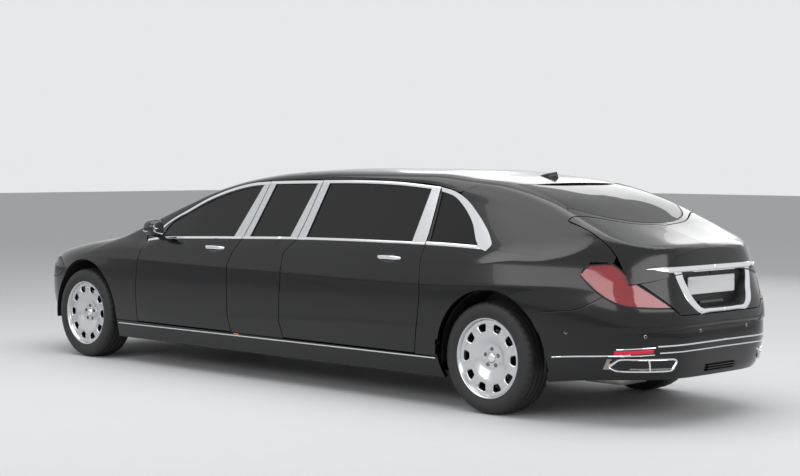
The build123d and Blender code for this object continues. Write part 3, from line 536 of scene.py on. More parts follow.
# Shut lines on the car's left side, as x at a height or height at x
doorLines = {
    "frontDoorFront": [(0.350, 1.6405), (0.560, 1.6405), (0.820, 1.6115), (0.900, 1.590), (0.985, 1.555)],
    "frontDoorRear": [(0.350, 0.4895), (0.518, 0.5185), (0.820, 0.5185), (0.921, 0.4855),
                      (1.058, 0.4015), (1.472, 0.3275)],
    "rearDoorFront": [(0.350, -0.0985), (0.482, -0.0705), (0.817, -0.0915), (0.945, -0.0945),
                      (1.075, -0.1955), (1.488, -0.2455)],
    "rearDoorRear": [(0.350, -1.4105), (0.547, -1.4455), (0.764, -1.4715), (0.975, -1.4525),
                     (1.080, -1.4545), (1.456, -1.4165)],
}
edgeX = {name: lineThrough(points) for name, points in doorLines.items()}
beltZ = lineThrough([(1.62, 0.974), (1.555, 0.988), (1.302, 1.014), (0.908, 1.030), (0.396, 1.046),
                     (-0.202, 1.062), (-0.934, 1.070), (-1.449, 1.071), (-2.004, 1.058),
                     (-2.50, 1.030), (-2.95, 1.004)])
sillTop = 0.344
doorBottom = 0.350
shutGap = 0.006


def upLine(name, low, high, shift=0.0):
    # an edge of a door from one height to another, as (x, z)
    z = np.linspace(low, high, 40)
    return np.stack([edgeX[name](z) + shift, z], 1)


def beltLine(x0, x1, count=60):
    x = np.linspace(x0, x1, count)
    return np.stack([x, beltZ(x)], 1)


def edgeTop(name, shift=0.0):
    # height where a door edge meets the belt
    z = 1.0
    for _ in range(12):
        z = float(beltZ(edgeX[name](z) + shift))
    return z


def lowerDoor(frontEdge, rearEdge, columns, rows, bottom=doorBottom, frontShift=0.0, rearShift=0.0):
    # grid of a side panel below the belt, from its rear edge to its front edge
    frontTop, rearTop = edgeTop(frontEdge, frontShift), edgeTop(rearEdge, rearShift)
    left = upLine(rearEdge, bottom, rearTop, rearShift)
    right = upLine(frontEdge, bottom, frontTop, frontShift)
    top = beltLine(left[-1, 0], right[-1, 0])
    return liftSide(patch([left[0], right[0]], top, left, right, columns, rows))


panelDepth = {"skin": 0.022, "door": 0.100, "lean": 0.030, "bevel": 0.0022}

frontDoorSkin = lowerDoor("frontDoorFront", "frontDoorRear", 70, 50)
rearDoorSkin = lowerDoor("rearDoorFront", "rearDoorRear", 80, 54)
centreSkin = lowerDoor("frontDoorRear", "rearDoorFront", 36, 54, sillTop, -shutGap, shutGap)


def doorSlab(grid):
    return slab(grid, 0, along=(panelDepth["lean"], -panelDepth["door"], 0))


pivotFront = (0.30, 0.55)
pivotRear = (0.30, 0.80)


def arc(centre, radius, fromAngle, toAngle, count=40):
    a = np.radians(np.linspace(fromAngle, toAngle, count))
    return np.stack([centre[0] + radius * np.cos(a), centre[1] + radius * np.sin(a)], 1)


def archAngle(centre, z):
    return math.degrees(math.asin((z - centre[1]) / archRadius))


def frontWingGrid():
    # from the door edge, over the arch, to the lamp; top edge on the bonnet line
    rear = upLine("frontDoorFront", sillTop, 0.982, shutGap)
    start, end = archAngle(frontAxle, sillTop), archAngle(frontAxle, 0.630)
    bottom = np.vstack([[rear[0]], arc(frontAxle, archRadius, 180 - start, end, 90)])
    lamp = np.array([bottom[-1], (2.7165, 0.680), (2.7130, 0.735), (2.7545, 0.774), (2.8195, 0.803)])
    bonnetSide = np.array([(1.7205, 0.7515), (2.0, 0.7345), (2.4, 0.7095), (2.8195, 0.6915)])
    low = turned(liftSide(bottom), pivotFront)
    back = turned(liftSide(rear), pivotFront)
    ahead = turned(liftSide(rounded(lamp, 30)), pivotFront)
    top = turned(liftTop(rounded(bonnetSide, 60)), pivotFront)
    corner = turned(liftTop(rounded([(1.600, 0.865), (1.640, 0.80), (1.7205, 0.7515)], 12)), pivotFront)
    back = np.vstack([back, corner[1:]])
    nose = turned(liftTop(rounded([(2.8195, 0.755), (2.8195, 0.6915)], 8)), pivotFront)
    ahead = np.vstack([ahead, nose])
    return liftTurn(patch(low, top, back, ahead, 96, 54), pivotFront)


def quarterGrid():
    # from the rear door edge, over the arch, to the lamp; top edge along the belt
    front = upLine("rearDoorRear", sillTop, edgeTop("rearDoorRear", -shutGap), -shutGap)
    start, end = archAngle(rearArch, sillTop), archAngle(rearArch, 0.678)
    low = np.vstack([[front[0]], arc(rearArch, archRadius, start, 180 - end, 90)])
    bumperTop = rounded([low[-1], (-2.560, 0.702), (-2.7545, 0.732), (-2.8775, 0.803)], 30)
    bottom = np.vstack([low, bumperTop[1:]])
    lampEdge = rounded([(-2.8775, 0.803), (-2.800, 0.878), (-2.7305, 0.940), (-2.7625, 0.992),
                        (-2.9035, 1.0075)], 40)
    top = beltLine(front[-1, 0], -2.9035)
    top[-1, 1] = 1.0075
    lows, tops = turned(liftSide(bottom), pivotRear), turned(liftSide(top), pivotRear)
    ends = turned(liftSide(lampEdge), pivotRear)
    fronts = turned(liftSide(front), pivotRear)
    return liftTurn(patch(lows[::-1], tops[::-1], ends, fronts, 116, 56), pivotRear)


def pillarGrid():
    # rear pillar and shoulder between the window, the back window and the boot lid
    base = beltLine(-1.935, -2.9035, count=50)
    base[-1, 1] = 1.0075
    lid = [(-2.9035, 0.7035), (-2.75, 0.7035), (-2.62, 0.7035), (-2.5305, 0.7035), (-2.480, 0.640)]
    backEdge = [(-2.4445, 0.606), (-2.30, 0.587), (-2.15, 0.566), (-2.02, 0.548)]
    upper = np.vstack([liftTop(rounded(lid, 30, False)), liftTop(rounded(backEdge, 30))])
    windowEdge = rounded([(-1.935, float(beltZ(-1.935))), (-1.885, 1.150), (-1.800, 1.245),
                          (-1.700, 1.325), (-1.600, 1.383)], 40)
    front = turned(liftSide(windowEdge), pivotRear)
    roofEnd = liftTop(rounded([(-1.600, 0.690), (-1.78, 0.640), (-2.02, 0.548)], 20))
    lowEdge = turned(liftSide(base), pivotRear)
    corner = liftSide(base[-1:])[0, 1]
    tail = turned(liftTop(rounded([(-2.9035, corner), (-2.9035, 0.7035)], 8)), pivotRear)
    top = turned(upper, pivotRear)
    front = np.vstack([front, turned(roofEnd, pivotRear)[1:]])
    return liftTurn(patch(lowEdge[::-1], top, tail, front, 60, 40), pivotRear)


wing = frontWingGrid()
quarter = quarterGrid()
pillar = pillarGrid()
print("side panels shaped")

addPiece("front_wings", pair(slab(wing, panelDepth["skin"])), paint, stands="front_wings",
         bevel=panelDepth["bevel"])
addPiece("centre_panels", pair(doorSlab(centreSkin)), paint, stands="centre_panels",
         bevel=panelDepth["bevel"])
addPiece("quarter_panels", pair(slab(quarter, panelDepth["skin"])), paint, stands="quarter_panels",
         bevel=panelDepth["bevel"])
addPiece("rear_pillars", pair(slab(pillar, panelDepth["skin"])), paint, bevel=panelDepth["bevel"])
for side, flip in (("left", False), ("right", True)):
    for name, grid in (("front_door", frontDoorSkin), ("rear_door", rearDoorSkin)):
        shape = doorSlab(grid)
        addPiece(f"{name}_{side}", otherSide(shape) if flip else shape, paint, f"{name}_{side}",
                 f"{name}_{side}", bevel=panelDepth["bevel"])


# Bonnet, boot lid, roof

def bothHalves(half):
    # half sheet whose first row lies on the middle plane, completed to the other side
    return np.concatenate([(half * (1, -1, 1))[:0:-1], half], 0)


def bonnetGrid():
    rear = [(1.9755, 0), (1.9285, 0.35), (1.7985, 0.62), (1.7205, 0.7445)]
    front = [(3.1175, 0), (3.0995, 0.35), (3.0345, 0.5545), (2.8295, 0.6845)]
    side = [(1.7205, 0.7445), (2.0, 0.7275), (2.4, 0.7025), (2.8295, 0.6845)]
    middle = [(1.9755, 0), (3.1175, 0)]
    half = liftTop(patch(middle, rounded(side, 60), rounded(rear, 40), rounded(front, 40), 64, 36))
    return bothHalves(half)


def lidTopGrid():
    front = [(-2.7745, 0), (-2.7195, 0.30), (-2.5445, 0.66), (-2.5305, 0.6985)]
    side = [(-2.5305, 0.6985), (-3.0, 0.6985)]
    tail = [(-3.135, 0), (-3.128, 0.35), (-3.100, 0.55), (-3.0, 0.6985)]
    half = liftTop(patch([(-2.7745, 0), (-3.135, 0)], side, rounded(front, 40), rounded(tail, 40), 30, 36))
    return bothHalves(half)


bonnet = bonnetGrid()
lidTop = lidTopGrid()
addPiece("bonnet", slab(bonnet, 0.020), paint, "bonnet", "bonnet", bevel=panelDepth["bevel"])
addPiece("boot_lid", slab(lidTop, 0.020), paint, "boot_lid", "boot_lid", bevel=panelDepth["bevel"])


def roofGrid():
    x = np.linspace(-2.0345, 0.9835, 84)
    y = np.linspace(-0.578, 0.578, 40)
    return liftTop(np.stack(np.meshgrid(x, y), -1))


addPiece("roof_panel", slab(roofGrid(), 0.03), paint, stands="roof_panel", bevel=panelDepth["bevel"])
print("panels made")


# Windows, frames and bright trim

def addSides(name, shape, material, body, stands=None, **more):
    # the same piece on both sides, each on its own side's body
    for side in ("left", "right"):
        node = f"{stands}_{side}" if stands else ()
        form = shape if side == "left" else otherSide(shape)
        addPiece(f"{name}_{side}", form, material, f"{body}_{side}", node, **more)


def band(first, second, count, across, smooth=True, **lift):
    # strip of surface between two (x, z) lines
    a, b = rounded(first, count, smooth), rounded(second, count, smooth)
    v = np.linspace(0, 1, across + 1)[:, None, None]
    return liftSide((1 - v) * a[None] + v * b[None], **lift)


def besides(line, shift):
    # (x, z) line moved to its left by a distance
    p = np.array(line, float)
    run = np.gradient(p, axis=0)
    run = run / np.linalg.norm(run, axis=1)[:, None]
    return p + shift * np.stack([-run[:, 1], run[:, 0]], 1)


def trimStrip(line, shift, width, count=80, proud=0.003, gap=bodyGap, smooth=True):
    # bright strip lying along a line, its middle crowned
    path = rounded(line, count, smooth)
    rows = []
    for share, rise in ((0, 0), (0.12, 0.7), (0.35, 1), (0.65, 1), (0.88, 0.7), (1, 0)):
        rows.append(liftSide(besides(path, shift + width * share)[None], gap=gap,
                             depth=-proud * rise)[0])
    return slab(np.array(rows), 0.005)


windowEdges = {
    "front": {"left": [(0.5065, 1.062), (0.3955, 1.436)], "right": [(1.3905, 1.032), (1.3405, 1.116)],
              "top": [(0.3955, 1.436), (0.5055, 1.427), (0.7355, 1.383), (0.9525, 1.313),
                      (1.1485, 1.222), (1.3405, 1.116)]},
    "centre": {"left": [(-0.1095, 1.072), (-0.1905, 1.462)], "right": [(0.3215, 1.062), (0.2565, 1.452)],
               "top": [(-0.1905, 1.462), (0.2565, 1.452)]},
    "rear": {"left": [(-1.3225, 1.086), (-1.3325, 1.440)], "right": [(-0.2845, 1.080), (-0.3175, 1.464)],
             "top": [(-1.3325, 1.440), (-1.0155, 1.458), (-0.6005, 1.466), (-0.3175, 1.464)]},
    "quarter": {"left": [(-1.9015, 1.080), (-1.8045, 1.222)], "right": [(-1.4895, 1.081), (-1.4415, 1.425)],
                "top": [(-1.8045, 1.222), (-1.6805, 1.329), (-1.5645, 1.395), (-1.4415, 1.425)]},
}
glassDepth = 0.007


def windowGlass(name):
    e = windowEdges[name]
    grid = patch([e["left"][0], e["right"][0]], rounded(e["top"], 60), e["left"], e["right"], 32, 12)
    return slab(liftSide(grid, gap=roofGap, depth=glassDepth), 0.004)


addSides("front_door_glass", windowGlass("front"), frontGlass, "front_door", "front_door_glass")
addSides("rear_door_glass", windowGlass("rear"), darkGlass, "rear_door", "rear_door_glass")
addPiece("fixed_side_windows", pair(joined([windowGlass("centre"), windowGlass("quarter")])), darkGlass,
         stands="fixed_side_windows")

# Frame outlines run from the rear forwards
frontFrameOuter = [(0.3275, 1.472), (0.5055, 1.460), (0.7405, 1.415), (0.9605, 1.344), (1.1605, 1.252),
                   (1.4005, 1.125), (1.5405, 1.000)]
frontFrameInner = windowEdges["front"]["top"] + [(1.3905, 1.032)]
rearFrameOuter = [(-1.4165, 1.456), (-1.0155, 1.484), (-0.6005, 1.492), (-0.2455, 1.488)]
centreFrameOuter = [(-0.2395, 1.486), (0.0, 1.482), (0.3215, 1.474)]
quarterOuter = [(-1.985, 1.050), (-2.016, 1.089), (-1.984, 1.139), (-1.899, 1.223), (-1.802, 1.298),
                (-1.683, 1.375), (-1.552, 1.428), (-1.4225, 1.453)]
quarterInner = [(-1.890, 1.077), (-1.905, 1.083), (-1.880, 1.115), (-1.8045, 1.222), (-1.7405, 1.283),
                (-1.6805, 1.329), (-1.5645, 1.395), (-1.4415, 1.425)]
pillars = {
    "front": ("frontDoorRear", 0.0, "front", "left"),
    "centreFront": ("frontDoorRear", -shutGap, "centre", "right"),
    "centreRear": ("rearDoorFront", shutGap, "centre", "left"),
    "rearFront": ("rearDoorFront", 0.0, "rear", "right"),
    "rearBack": ("rearDoorRear", 0.0, "rear", "left"),
    "quarter": ("rearDoorRear", -shutGap, "quarter", "right"),
}
bright = {"bandDepth": 0.018, "pillarProud": 0.0025, "stripWidth": 0.021, "beltWidth": 0.017,
          "pillarShare": (0.02, 0.94)}


def pillarLines(key):
    edge, shift, window, side = pillars[key]
    ends = windowEdges[window][side]
    low = edgeTop(edge, shift)
    high = {"frontDoorRear": 1.472, "rearDoorFront": 1.488, "rearDoorRear": 1.456}[edge]
    shut = upLine(edge, low, high, shift)
    lean = (ends[1][0] - ends[0][0]) / (ends[1][1] - ends[0][1])
    inner = [(ends[0][0] + lean * (low - ends[0][1]), low), ends[1]]
    return shut, inner


def pillarBand(key, depth=0.0, share=(0.0, 1.0), thick=None):
    shut, inner = pillarLines(key)
    a, b = rounded(shut, 30), rounded(inner, 30)
    v = np.linspace(share[0], share[1], 8)[:, None, None]
    grid = (1 - v) * a[None] + v * b[None]
    return slab(liftSide(grid, gap=roofGap, depth=depth), thick or bright["bandDepth"])


def topBand(outer, inner, count=60):
    return slab(band(outer, inner, count, 6, gap=roofGap, depth=0.001), bright["bandDepth"])


addSides("front_door_frame", joined([topBand(frontFrameOuter, frontFrameInner),
                                     pillarBand("front", 0.001)]), blackGloss, "front_door")
addSides("rear_door_frame", joined([topBand(rearFrameOuter, windowEdges["rear"]["top"]),
                                    pillarBand("rearFront", 0.001), pillarBand("rearBack", 0.001)]),
         blackGloss, "rear_door")
addPiece("fixed_frames", pair(joined([topBand(centreFrameOuter, windowEdges["centre"]["top"], 30),
                                      pillarBand("centreFront", 0.001), pillarBand("centreRear", 0.001),
                                      pillarBand("quarter", 0.001)])), blackGloss)


def pillarTrim(key, share):
    return pillarBand(key, -bright["pillarProud"], share, 0.004)


def topTrim(outer, smooth=True):
    return trimStrip(outer, -0.001 - bright["stripWidth"], bright["stripWidth"], 60, gap=roofGap,
                     smooth=smooth)


def beltTrim(x0, x1):
    return trimStrip(beltLine(x0, x1), 0.0, bright["beltWidth"], 44)


frontTop = frontFrameOuter[:-1] + [(1.500, 1.040)]
addSides("front_door_trim", joined([topTrim(frontTop), beltTrim(0.4045, 1.545)]), chrome, "front_door")
addSides("front_door_pillar", pillarTrim("front", bright["pillarShare"]), satin, "front_door", bevel=0.0012)
addSides("rear_door_trim", joined([topTrim(rearFrameOuter), beltTrim(-1.449, -0.1985)]), chrome, "rear_door")
addSides("rear_door_pillars", joined([pillarTrim("rearFront", bright["pillarShare"]),
                                      pillarTrim("rearBack", bright["pillarShare"])]), satin, "rear_door",
         bevel=0.0012)
fixedTrim = [topTrim(centreFrameOuter), beltTrim(-0.1905, 0.3955),
             slab(band(quarterOuter, quarterInner, 64, 5, gap=roofGap, depth=-0.004), 0.006),
             trimStrip(beltLine(-1.985, -1.461), 0.0, bright["beltWidth"] + 0.004, 50, gap=bodyGap)]
addPiece("fixed_trim", pair(joined(fixedTrim)), chrome, bevel=0.0010)
addPiece("fixed_pillars", pair(joined([pillarTrim("centreFront", bright["pillarShare"]),
                                       pillarTrim("centreRear", bright["pillarShare"])])), satin,
         bevel=0.0012)


# Roof rails, windscreen, rear window, scuttle

def railGrid():
    low = [(-1.600, 1.420), (-1.500, 1.447), (-1.4165, 1.462), (-1.0155, 1.490), (-0.6005, 1.498),
           (-0.2455, 1.494), (0.3275, 1.478), (0.5055, 1.466), (0.7405, 1.421), (0.9605, 1.350),
           (1.1605, 1.258), (1.4005, 1.131), (1.5505, 0.997)]
    top = np.vstack([rounded([(-2.020, 0.583), (-1.0, 0.583), (0.0, 0.583), (0.9835, 0.583)], 90),
                     rounded([(0.9875, 0.5905), (1.2, 0.6365), (1.6735, 0.7395), (1.700, 0.7445)], 60)])
    back = rounded([(-1.600, 0.690), (-1.78, 0.640), (-2.020, 0.583)], 20)
    foot = rounded([(1.5505, 0.890), (1.620, 0.810), (1.700, 0.7445)], 16)
    lows = turned(liftSide(rounded(low, 160), gap=roofGap), pivotRear)
    tops = turned(liftTop(top), pivotRear)
    backs = np.vstack([lows[:1], turned(liftTop(back), pivotRear)[1:]])
    feet = np.vstack([lows[-1:], turned(liftTop(foot), pivotRear)[1:]])
    return liftTurn(patch(lows, tops, backs, feet, 100, 10), pivotRear)


def halfTop(front, rear, side, across, up, gap=bodyGap, depth=0.0):
    # sheet seen from above between a front and a rear edge, mirrored over the middle
    middle = [front[0], rear[0]]
    half = liftTop(patch(middle, rounded(side, 60), rounded(front, 50), rounded(rear, 50), across, up),
                   gap=gap, depth=depth)
    return bothHalves(half)


screenFront = [(1.9215, 0), (1.8835, 0.35), (1.7835, 0.60), (1.6735, 0.735)]
screenTop = [(1.0335, 0), (1.0235, 0.30), (0.9935, 0.585)]
screenSide = [(1.6735, 0.735), (0.9935, 0.585)]
backFront = [(-2.1045, 0), (-2.0845, 0.30), (-1.9845, 0.545)]
backRear = [(-2.7245, 0), (-2.6995, 0.20), (-2.6045, 0.43), (-2.4445, 0.600)]
backSide = [(-1.9845, 0.545), (-2.2, 0.574), (-2.4445, 0.600)]
windscreen = halfTop(screenFront, screenTop, screenSide, 36, 24, gap=roofGap)
backWindow = halfTop(backFront, backRear, backSide, 30, 24)
addPiece("roof_rails", pair(slab(railGrid(), 0.025)), paint, stands="roof_rails", bevel=0.002)
addPiece("windscreen", slab(windscreen, 0.005), clearGlass, stands="windscreen")
addPiece("rear_window", slab(backWindow, 0.005), darkGlass, stands="rear_window")


deckRear = [(-2.7685, 0), (-2.7135, 0.30), (-2.5385, 0.656), (-2.5245, 0.7035)]
deckFront = [(-2.7315, 0), (-2.7065, 0.20), (-2.6115, 0.436), (-2.4515, 0.606)]
deckStrip = halfTop(deckFront, deckRear, [(-2.4515, 0.606), (-2.480, 0.640), (-2.5245, 0.7035)], 8, 50)
addPiece("deck_strip", slab(deckStrip, 0.020), paint, bevel=0.0015)


def rimOf(grid):
    return np.concatenate([grid[0, :-1], grid[:-1, -1], grid[-1, :0:-1], grid[:0:-1, 0]])


sealSection = [(-0.007, -0.010), (0.007, -0.010), (0.007, -0.001), (0.004, 0.0008), (-0.004, 0.0008),
               (-0.007, -0.001)]
seals = [tube(rimOf(grid), sealSection, closed=True) for grid in (windscreen, backWindow)]
addPiece("screen_seals", joined(seals), sealRubber)

scuttleRear = [(1.9265, 0), (1.8885, 0.35), (1.7885, 0.605), (1.6895, 0.7385)]
scuttleFront = [(1.9685, 0), (1.9225, 0.35), (1.7925, 0.615), (1.7155, 0.7395)]
scuttleSide = [(1.7155, 0.7395), (1.6895, 0.7385)]
scuttleGrid = halfTop(scuttleFront, scuttleRear, scuttleSide, 6, 60, depth=0.003)
addPiece("scuttle_panel", slab(scuttleGrid, 0.012), blackPlastic, stands="scuttle_panel", bevel=0.001)
ventSlots = []
for y in np.linspace(-0.56, 0.56, 49):
    x = 1.948 - 0.42 * y * y
    at = liftTop([[x - 0.012, y], [x + 0.012, y]], depth=-0.0006)
    ventSlots.append(tube(at, circle(0.0035, 6)))
addPiece("scuttle_slots", joined(ventSlots), sealRubber)


def wiper(hub, tip, elbow):
    # arm from its hub to the blade's middle, and the blade lying on the glass
    ends = liftTop(rounded([hub, elbow], 14), gap=roofGap, depth=-0.018)
    blade = liftTop(rounded([tip, (2 * elbow[0] - tip[0], 2 * elbow[1] - tip[1])], 20), gap=roofGap,
                    depth=-0.008)
    return joined([tube(ends, [(-0.009, -0.003), (0.009, -0.003), (0.007, 0.005), (-0.007, 0.005)]),
                   tube(blade, [(-0.004, -0.009), (0.004, -0.009), (0.006, 0.0), (0.002, 0.007),
                                (-0.002, 0.007), (-0.006, 0.0)]),
                   moved(spun([(0.0, -0.012), (0.017, -0.012), (0.019, 0.004), (0.010, 0.012), (0.0, 0.013)],
                              20), ends[0] + (0, 0, 0.004), Matrix.Rotation(math.radians(90), 3, "X"))])


addPiece("wipers", joined([wiper((1.862, 0.40), (1.735, 0.52), (1.800, 0.13)),
                           wiper((1.890, -0.10), (1.822, 0.03), (1.795, -0.33))]), blackPlastic)
print("glass and frames made")


# Rear end

def liftRound(grid, pivot, depth=0.0):
    # (angle, z) points carried outwards from an upright line
    angle, z = twoParts(grid)
    c, s = np.cos(angle), np.sin(angle)
    return lifted(lambda r: (pivot[0] + r * c, pivot[1] + r * s, z), z.shape, 0.0, 1.6, depth=depth)


def around(points, pivot):
    p = np.asarray(points, float)
    return np.stack([np.arctan2(p[..., 1] - pivot[1], p[..., 0] - pivot[0]), p[..., 2]], -1)


def liftTail(grid, pivot):
    # (y, angle) points carried outwards from a crosswise line
    y, angle = twoParts(grid)
    c, s = np.cos(angle), np.sin(angle)
    return lifted(lambda r: (pivot[0] + r * c, y, pivot[1] + r * s), y.shape, 0.0, 0.9)


def overTail(points, pivot):
    p = np.asarray(points, float)
    angle = np.arctan2(p[..., 2] - pivot[1], p[..., 0] - pivot[0])
    return np.stack([p[..., 1], np.where(angle < 0, angle + 2 * math.pi, angle)], -1)


def mirroredGrid(half):
    # the same for a half sheet whose first column lies on it
    return np.concatenate([(half * (1, -1, 1))[:, :0:-1], half], 1)


pivotTail = (-2.75, 0.86)
pivotBumper = (-2.3, 0.0)
pivotNose = (2.3, 0.0)
tailOut = (-2.6, 0, 0.8)
recess = {"top": 0.944, "halfTop": 0.352, "halfLow": 0.245, "lowZ": 0.727, "floorX": -3.122}


def holeHalf(count):
    # edge of the number plate recess from top middle to bottom middle, as (y, z), in three runs
    top = [(0, recess["top"]), (recess["halfTop"] - 0.02, recess["top"])]
    side = [(recess["halfTop"] - 0.02, recess["top"]), (recess["halfTop"], recess["top"] - 0.02),
            (0.318, 0.840), (0.290, 0.775), (recess["halfLow"], recess["lowZ"])]
    low = [(recess["halfLow"], recess["lowZ"]), (0.14, recess["lowZ"] - 0.010), (0, recess["lowZ"] - 0.012)]
    return np.vstack([rounded(top, count), rounded(side, count)[1:], rounded(low, count)[1:]])


def lidFaceGrid(count=26, across=14):
    tail = lidTop[lidTop.shape[0] // 2:, -1]
    tail = rounded(tail, count)
    tail[0, 1] = 0
    corner = liftEnd([(0.6985, 0.970)], -1)[0]
    side = liftEnd(rounded([(0.6985, 0.970), (0.668, 0.905), (0.484, 0.735), (0.44, 0.690)], 40, False), -1)
    side = rounded(np.vstack([tail[-1:], side]), count, False)
    low = liftEnd(rounded([(0.44, 0.690), (0, 0.690)], count), -1)
    outer = overTail(np.vstack([tail, side[1:], low[1:]]), pivotTail)
    inner = overTail(liftEnd(holeHalf(count), -1), pivotTail)
    v = np.linspace(0, 1, across + 1)[:, None, None]
    return liftTail((1 - v) * outer[None] + v * inner[None], pivotTail)


lidFace = lidFaceGrid()
hole = lidFace[-1]
back = np.stack([np.full(len(hole), recess["floorX"]), hole[:, 1] * 0.965,
                 0.83 + (hole[:, 2] - 0.83) * 0.95], 1)
middle = np.array([recess["floorX"], 0, 0.83])
rows = [hole, hole + (0.004, 0, 0) + (back - hole) * (0, 0.15, 0.15), back + (-0.006, 0, 0), back]
rows += [back + (middle * (1, 0, 1) - back) * (0, share, share) for share in (0.25, 0.5, 0.75, 1.0)]
rows[-1] = np.stack([np.full(len(hole), recess["floorX"]), np.zeros(len(hole)),
                     np.full(len(hole), 0.83)], 1)
recessGrid = np.array(rows)
addPiece("boot_lid_face", pair(slab(lidFace, 0.014, out=tailOut)), paint, "boot_lid", bevel=0.0018)
addPiece("plate_recess", pair(slab(recessGrid, 0.003, out=tailOut)), blackPlastic, "boot_lid")


def endStrip(first, second, count, proud=0.004):
    # band between two (y, z) lines on the tail, crowned across
    a, b = rounded(first, count), rounded(second, count)
    rows = []
    for share, height in ((0, 0.1), (0.10, 0.75), (0.35, 1), (0.65, 1), (0.90, 0.75), (1, 0.1)):
        rows.append(liftEnd(((1 - share) * a + share * b)[None], -1, depth=-proud * height)[0])
    return slab(np.array(rows), 0.007, out=(-2.6, 0, 0.7))


uInner = [(0.352, 0.946), (0.352, 0.930), (0.318, 0.840), (0.290, 0.775), (0.245, 0.727), (0.14, 0.717),
          (0, 0.715)]
uOuter = [(0.420, 0.946), (0.416, 0.930), (0.384, 0.836), (0.350, 0.762), (0.272, 0.698), (0.14, 0.693),
          (0, 0.692)]
barLow = [(0, 0.944), (0.30, 0.944), (0.52, 0.945), (0.660, 0.946)]
barHigh = [(0, 0.982), (0.30, 0.981), (0.52, 0.977), (0.672, 0.962)]
addPiece("plate_surround", pair(joined([endStrip(uOuter, uInner, 70), endStrip(barLow, barHigh, 60)])),
         chrome, "boot_lid")


def plateShape(width, height, corner, x, thick, z):
    outline = []
    for cy, cz, start in ((1, 1, 0), (-1, 1, 90), (-1, -1, 180), (1, -1, 270)):
        for a in np.radians(np.linspace(start, start + 90, 7)):
            outline.append((cy * (width / 2 - corner) + corner * math.cos(a),
                            cz * (height / 2 - corner) + corner * math.sin(a)))
    o = np.array(outline)
    rings = []
    for scale, depth in ((1, 0), (1, thick), (0.992, thick + 0.0006), (0.978, thick + 0.0006),
                         (0.972, thick - 0.0004)):
        ring = o.copy()
        ring[:, 0] -= np.sign(o[:, 0]) * (1 - scale) * width / 2
        ring[:, 1] -= np.sign(o[:, 1]) * (1 - scale) * width / 2
        rings.append(np.stack([np.full(len(o), x - depth), ring[:, 0], ring[:, 1] + z], 1))
    points, faces = gridShape(np.array(rings), wrap=True)
    faces.append(list(range(len(o))))
    faces.append(list(range(4 * len(o), 5 * len(o)))[::-1])
    return points, faces


plateWhite = surface("plate_enamel", (0.72, 0.73, 0.74), 0.3, coat=0.4, fleck=0.02, fleckScale=30, rough=0.05,
                     bump=0.02, bumpScale=500)
addPiece("number_plate", plateShape(0.520, 0.110, 0.010, -3.1270, 0.0068, 0.855), plateWhite, "boot_lid",
         sharp=30)
addPiece("plate_holder", plateShape(0.536, 0.126, 0.014, -3.1215, 0.0060, 0.855), blackPlastic, "boot_lid",
         sharp=30)
handleBar = [(-3.128, y, 0.748 + 0.02 * y * y) for y in np.linspace(-0.13, 0.13, 16)]
addPiece("boot_handle", tube(handleBar, [(-0.010, -0.008), (0.010, -0.008), (0.012, 0.004),
                                         (-0.004, 0.009)]), blackGloss, "boot_lid", bevel=0.001)

# Tail lamps
lampPivot = (-2.45, 0.25)
lampOut = (-2.4, 0.2, 0.8)
lampLow = np.vstack([liftSide([(-2.7345, 0.932), (-2.800, 0.873), (-2.879, 0.812), (-2.980, 0.760)]),
                     liftEnd([(0.640, 0.742), (0.494, 0.737)], -1)])
lampTop = np.vstack([liftSide([(-2.7330, 0.944), (-2.764, 0.990), (-2.830, 1.002), (-2.903, 1.001)]),
                     liftEnd([(0.706, 0.972)], -1)])
lampInner = liftEnd([(0.494, 0.737), (0.590, 0.824), (0.675, 0.903), (0.706, 0.972)], -1)


def lampSheet(depth, inset=0.0, columns=40, rows=16):
    low, top = around(rounded(lampLow, 60), lampPivot), around(rounded(lampTop, 60), lampPivot)
    inner = around(rounded(lampInner, 30, False), lampPivot)
    tip = around(rounded([lampLow[0], lampTop[0]], 6), lampPivot)
    grid = patch(low, top, tip, inner, columns, rows)
    middleOf = grid.mean((0, 1))
    grid = middleOf + (grid - middleOf) * (1 - inset)
    return liftRound(grid, lampPivot, depth=depth)


redLens = surface("red_lens", (0.50, 0.006, 0.022), 0.10, coat=1.0, fleck=0.10, fleckScale=14, rough=0.03,
                  bump=0.02, bumpScale=60, Transmission_Weight=0.55, IOR=1.45)
redGlow = surface("red_reflector", (0.72, 0.010, 0.045), 0.25, fleck=0.25, fleckScale=90, rough=0.08,
                  bump=0.3, bumpScale=420, weave=True)
paleLens = surface("pale_lens", (0.85, 0.62, 0.64), 0.15, coat=0.8, fleck=0.05, fleckScale=60, rough=0.05,
                   bump=0.2, bumpScale=500, weave=True)


def lampBars(shares, depth, thick):
    # raised ribs along the lamp, as shares of its height
    sheet = lampSheet(depth, 0.06, 40, 50)
    bars = []
    for low, high, start, stop in shares:
        part = sheet[int(low * 50):int(high * 50) + 1:2, int(start * 40):int(stop * 40) + 1]
        bars.append(slab(part, thick, out=lampOut))
    return joined(bars)


addPiece("tail_lamps", pair(slab(lampSheet(0.001), 0.0035, out=lampOut)), redLens,
         stands="tail_lamps", bevel=0.0015)
addPiece("tail_lamp_housings", pair(slab(lampSheet(0.040), 0.01, out=lampOut)), redGlow)
bars = [(0.22, 0.36, 0.30, 0.97), (0.42, 0.54, 0.06, 0.96), (0.60, 0.71, 0.10, 0.95),
        (0.77, 0.86, 0.16, 0.93)]
addPiece("tail_lamp_ribs", pair(lampBars(bars, 0.014, 0.020)), redGlow, bevel=0.0015)
addPiece("tail_lamp_bars", pair(lampBars([(0.05, 0.14, 0.40, 0.98)], 0.010, 0.018)), paleLens, bevel=0.0015)
lampRim = rimOf(lampSheet(0.004))
addPiece("tail_lamp_seals", pair(tube(lampRim, sealSection, closed=True)), sealRubber)

